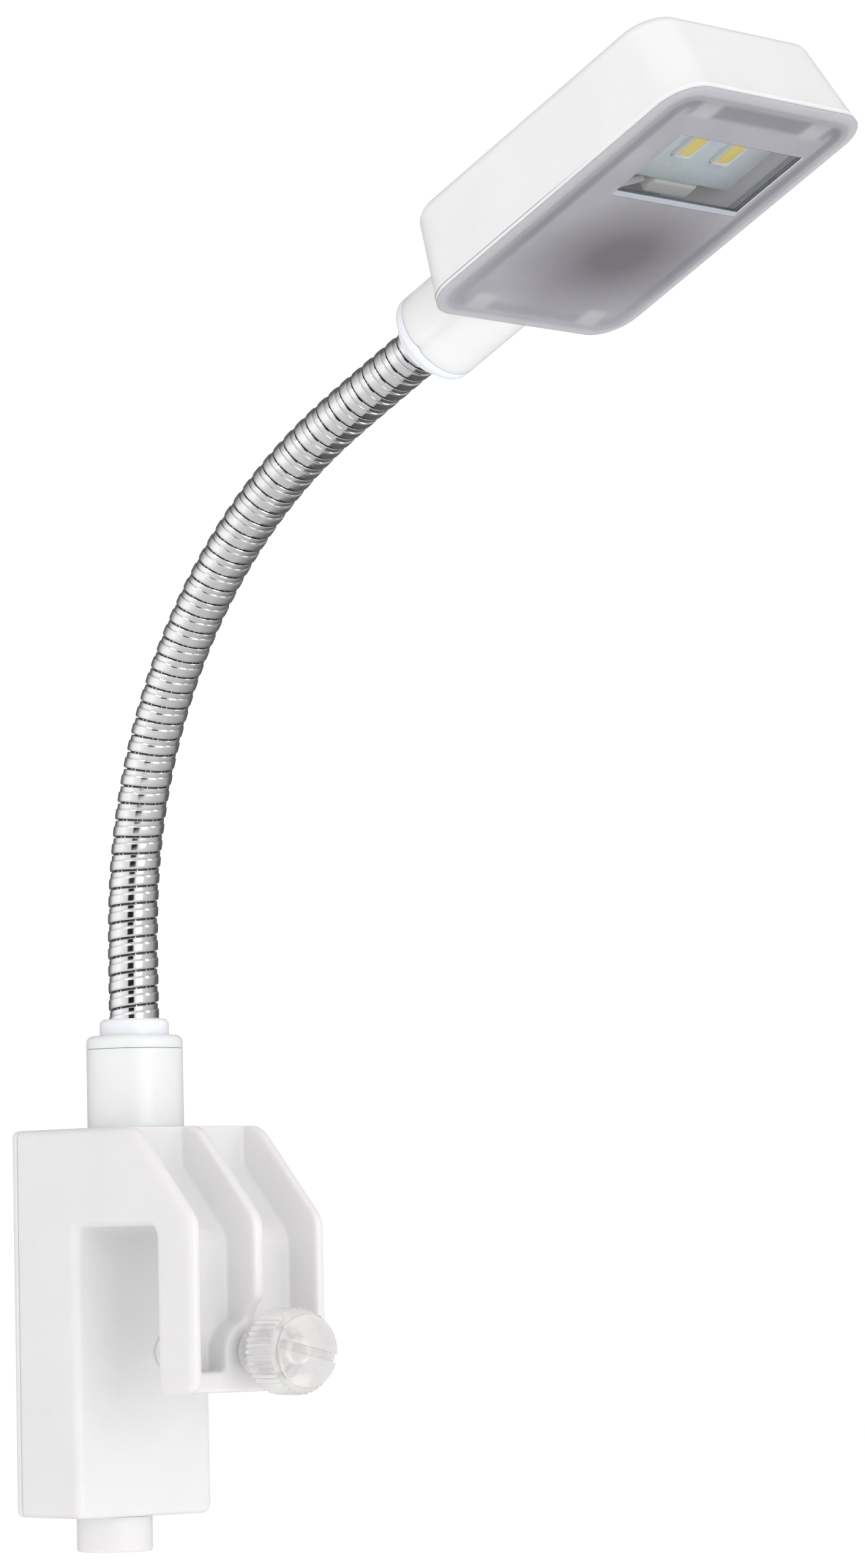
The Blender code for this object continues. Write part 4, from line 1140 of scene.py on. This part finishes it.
def stage():
    """The camera, the floor and the lights."""
    camera_data = bpy.data.cameras.new("camera")
    camera_data.lens = CAMERA_LENS
    camera_data.sensor_width = 36.0
    camera_data.clip_start, camera_data.clip_end = 0.05, 20
    camera = bpy.data.objects.new("camera", camera_data)
    camera.location = CAMERA_PLACE
    heading, tilt, roll = (Matrix.Rotation(math.radians(angle), 4, axis) for axis, angle in CAMERA_TURN)
    camera.rotation_euler = (heading @ tilt @ roll).to_euler()
    bpy.context.scene.collection.objects.link(camera)
    bpy.context.scene.camera = camera

    m = Nodes("floor_pale")
    m.colour(m.noise(6.0), (0.90, 0.90, 0.90), (0.93, 0.93, 0.93))
    m.set(Roughness=0.9, Emission_Color=(1.0, 1.0, 1.0, 1.0), Emission_Strength=0.25)
    half = FLOOR_HALF
    corners = [(x, y, FLOOR_LEVEL) for x, y in ((-half, -half), (half, -half), (half, half), (-half, half))]
    floor = add("floor", corners, [(0, 1, 2, 3)], (m.material,))
    floor.visible_glossy = False

    studio()
    area_light("key", (0.25, -0.85, 0.75), (0.5, 0.5), 0.95)
    area_light("rim", (0.9, 0.55, 0.45), (0.4, 0.6), 0.8)
    area_light("fill", (0.9, -0.15, 0.10), (0.4, 0.4), 1.6)


def studio():
    """An even white surround. What shiny pieces mirror is a room with bright walls on the left of the lamp,
    a narrow dark strip at eye level, and grey on its right."""
    bpy.context.scene.view_settings.view_transform = "Standard"
    world = bpy.data.worlds.new("studio")
    bpy.context.scene.world = world
    world.use_nodes = True
    tree = world.node_tree
    new, link = tree.nodes.new, tree.links.new
    even = tree.nodes["Background"]
    backdrop, mirrored = new("ShaderNodeBackground"), new("ShaderNodeBackground")
    for shader, strength in ((even, ROOM_LIGHT), (backdrop, BACKDROP)):
        shader.inputs["Color"].default_value = (1.0, 1.0, 1.0, 1.0)
        shader.inputs["Strength"].default_value = strength
    split = new("ShaderNodeSeparateXYZ")
    link(new("ShaderNodeTexCoord").outputs["Generated"], split.inputs["Vector"])
    turn = new("ShaderNodeMath")
    turn.operation = "ARCTAN2"
    link(split.outputs["Y"], turn.inputs[0])
    link(split.outputs["X"], turn.inputs[1])
    level, beyond = (brightness_ramp(tree, turn.outputs["Value"], math.pi, 180, stops)
                     for stops in (MIRRORED, MIRRORED_BEYOND))
    height, share = (brightness_ramp(tree, split.outputs["Z"], 1.0, 1.0, stops)
                     for stops in (MIRRORED_HEIGHT, BEYOND))
    around = new("ShaderNodeMix")
    around.data_type = "RGBA"
    link(share, around.inputs["Factor"])
    link(level, around.inputs["A"])
    link(beyond, around.inputs["B"])
    link(around.outputs["Result"], mirrored.inputs["Color"])
    link(height, mirrored.inputs["Strength"])
    rays = new("ShaderNodeLightPath")
    source = even.outputs["Background"]
    for seen, shader in (("Is Glossy Ray", mirrored), ("Is Transmission Ray", backdrop),
                         ("Is Camera Ray", backdrop)):
        choose = new("ShaderNodeMixShader")
        link(rays.outputs[seen], choose.inputs["Fac"])
        link(source, choose.inputs[1])
        link(shader.outputs["Background"], choose.inputs[2])
        source = choose.outputs["Shader"]
    link(source, tree.nodes["World Output"].inputs["Surface"])


def brightness_ramp(tree, source, reach, stop_reach, stops):
    """Grey levels over a source that runs from -reach to reach, from (place, brightness) stops whose places
    run from -stop_reach to stop_reach."""
    place = tree.nodes.new("ShaderNodeMapRange")
    place.inputs["From Min"].default_value = -reach
    place.inputs["From Max"].default_value = reach
    tree.links.new(source, place.inputs["Value"])
    node = tree.nodes.new("ShaderNodeValToRGB")
    tree.links.new(place.outputs["Result"], node.inputs["Fac"])
    elements = node.color_ramp.elements
    for _ in range(len(stops) - 2):
        elements.new(0.5)
    for element, (position, light) in zip(elements, stops):
        element.position = (position / stop_reach + 1) / 2
        element.color = (light, light, light, 1.0)
    return node.outputs["Color"]


stage()
bracket()
rear_cover()
outlet()
stem()
hose()
groove_shade_tubes()
thumb_screw()
housing()
lens()
window()
board()
leds()
connector()
head_fittings()
carried_over()
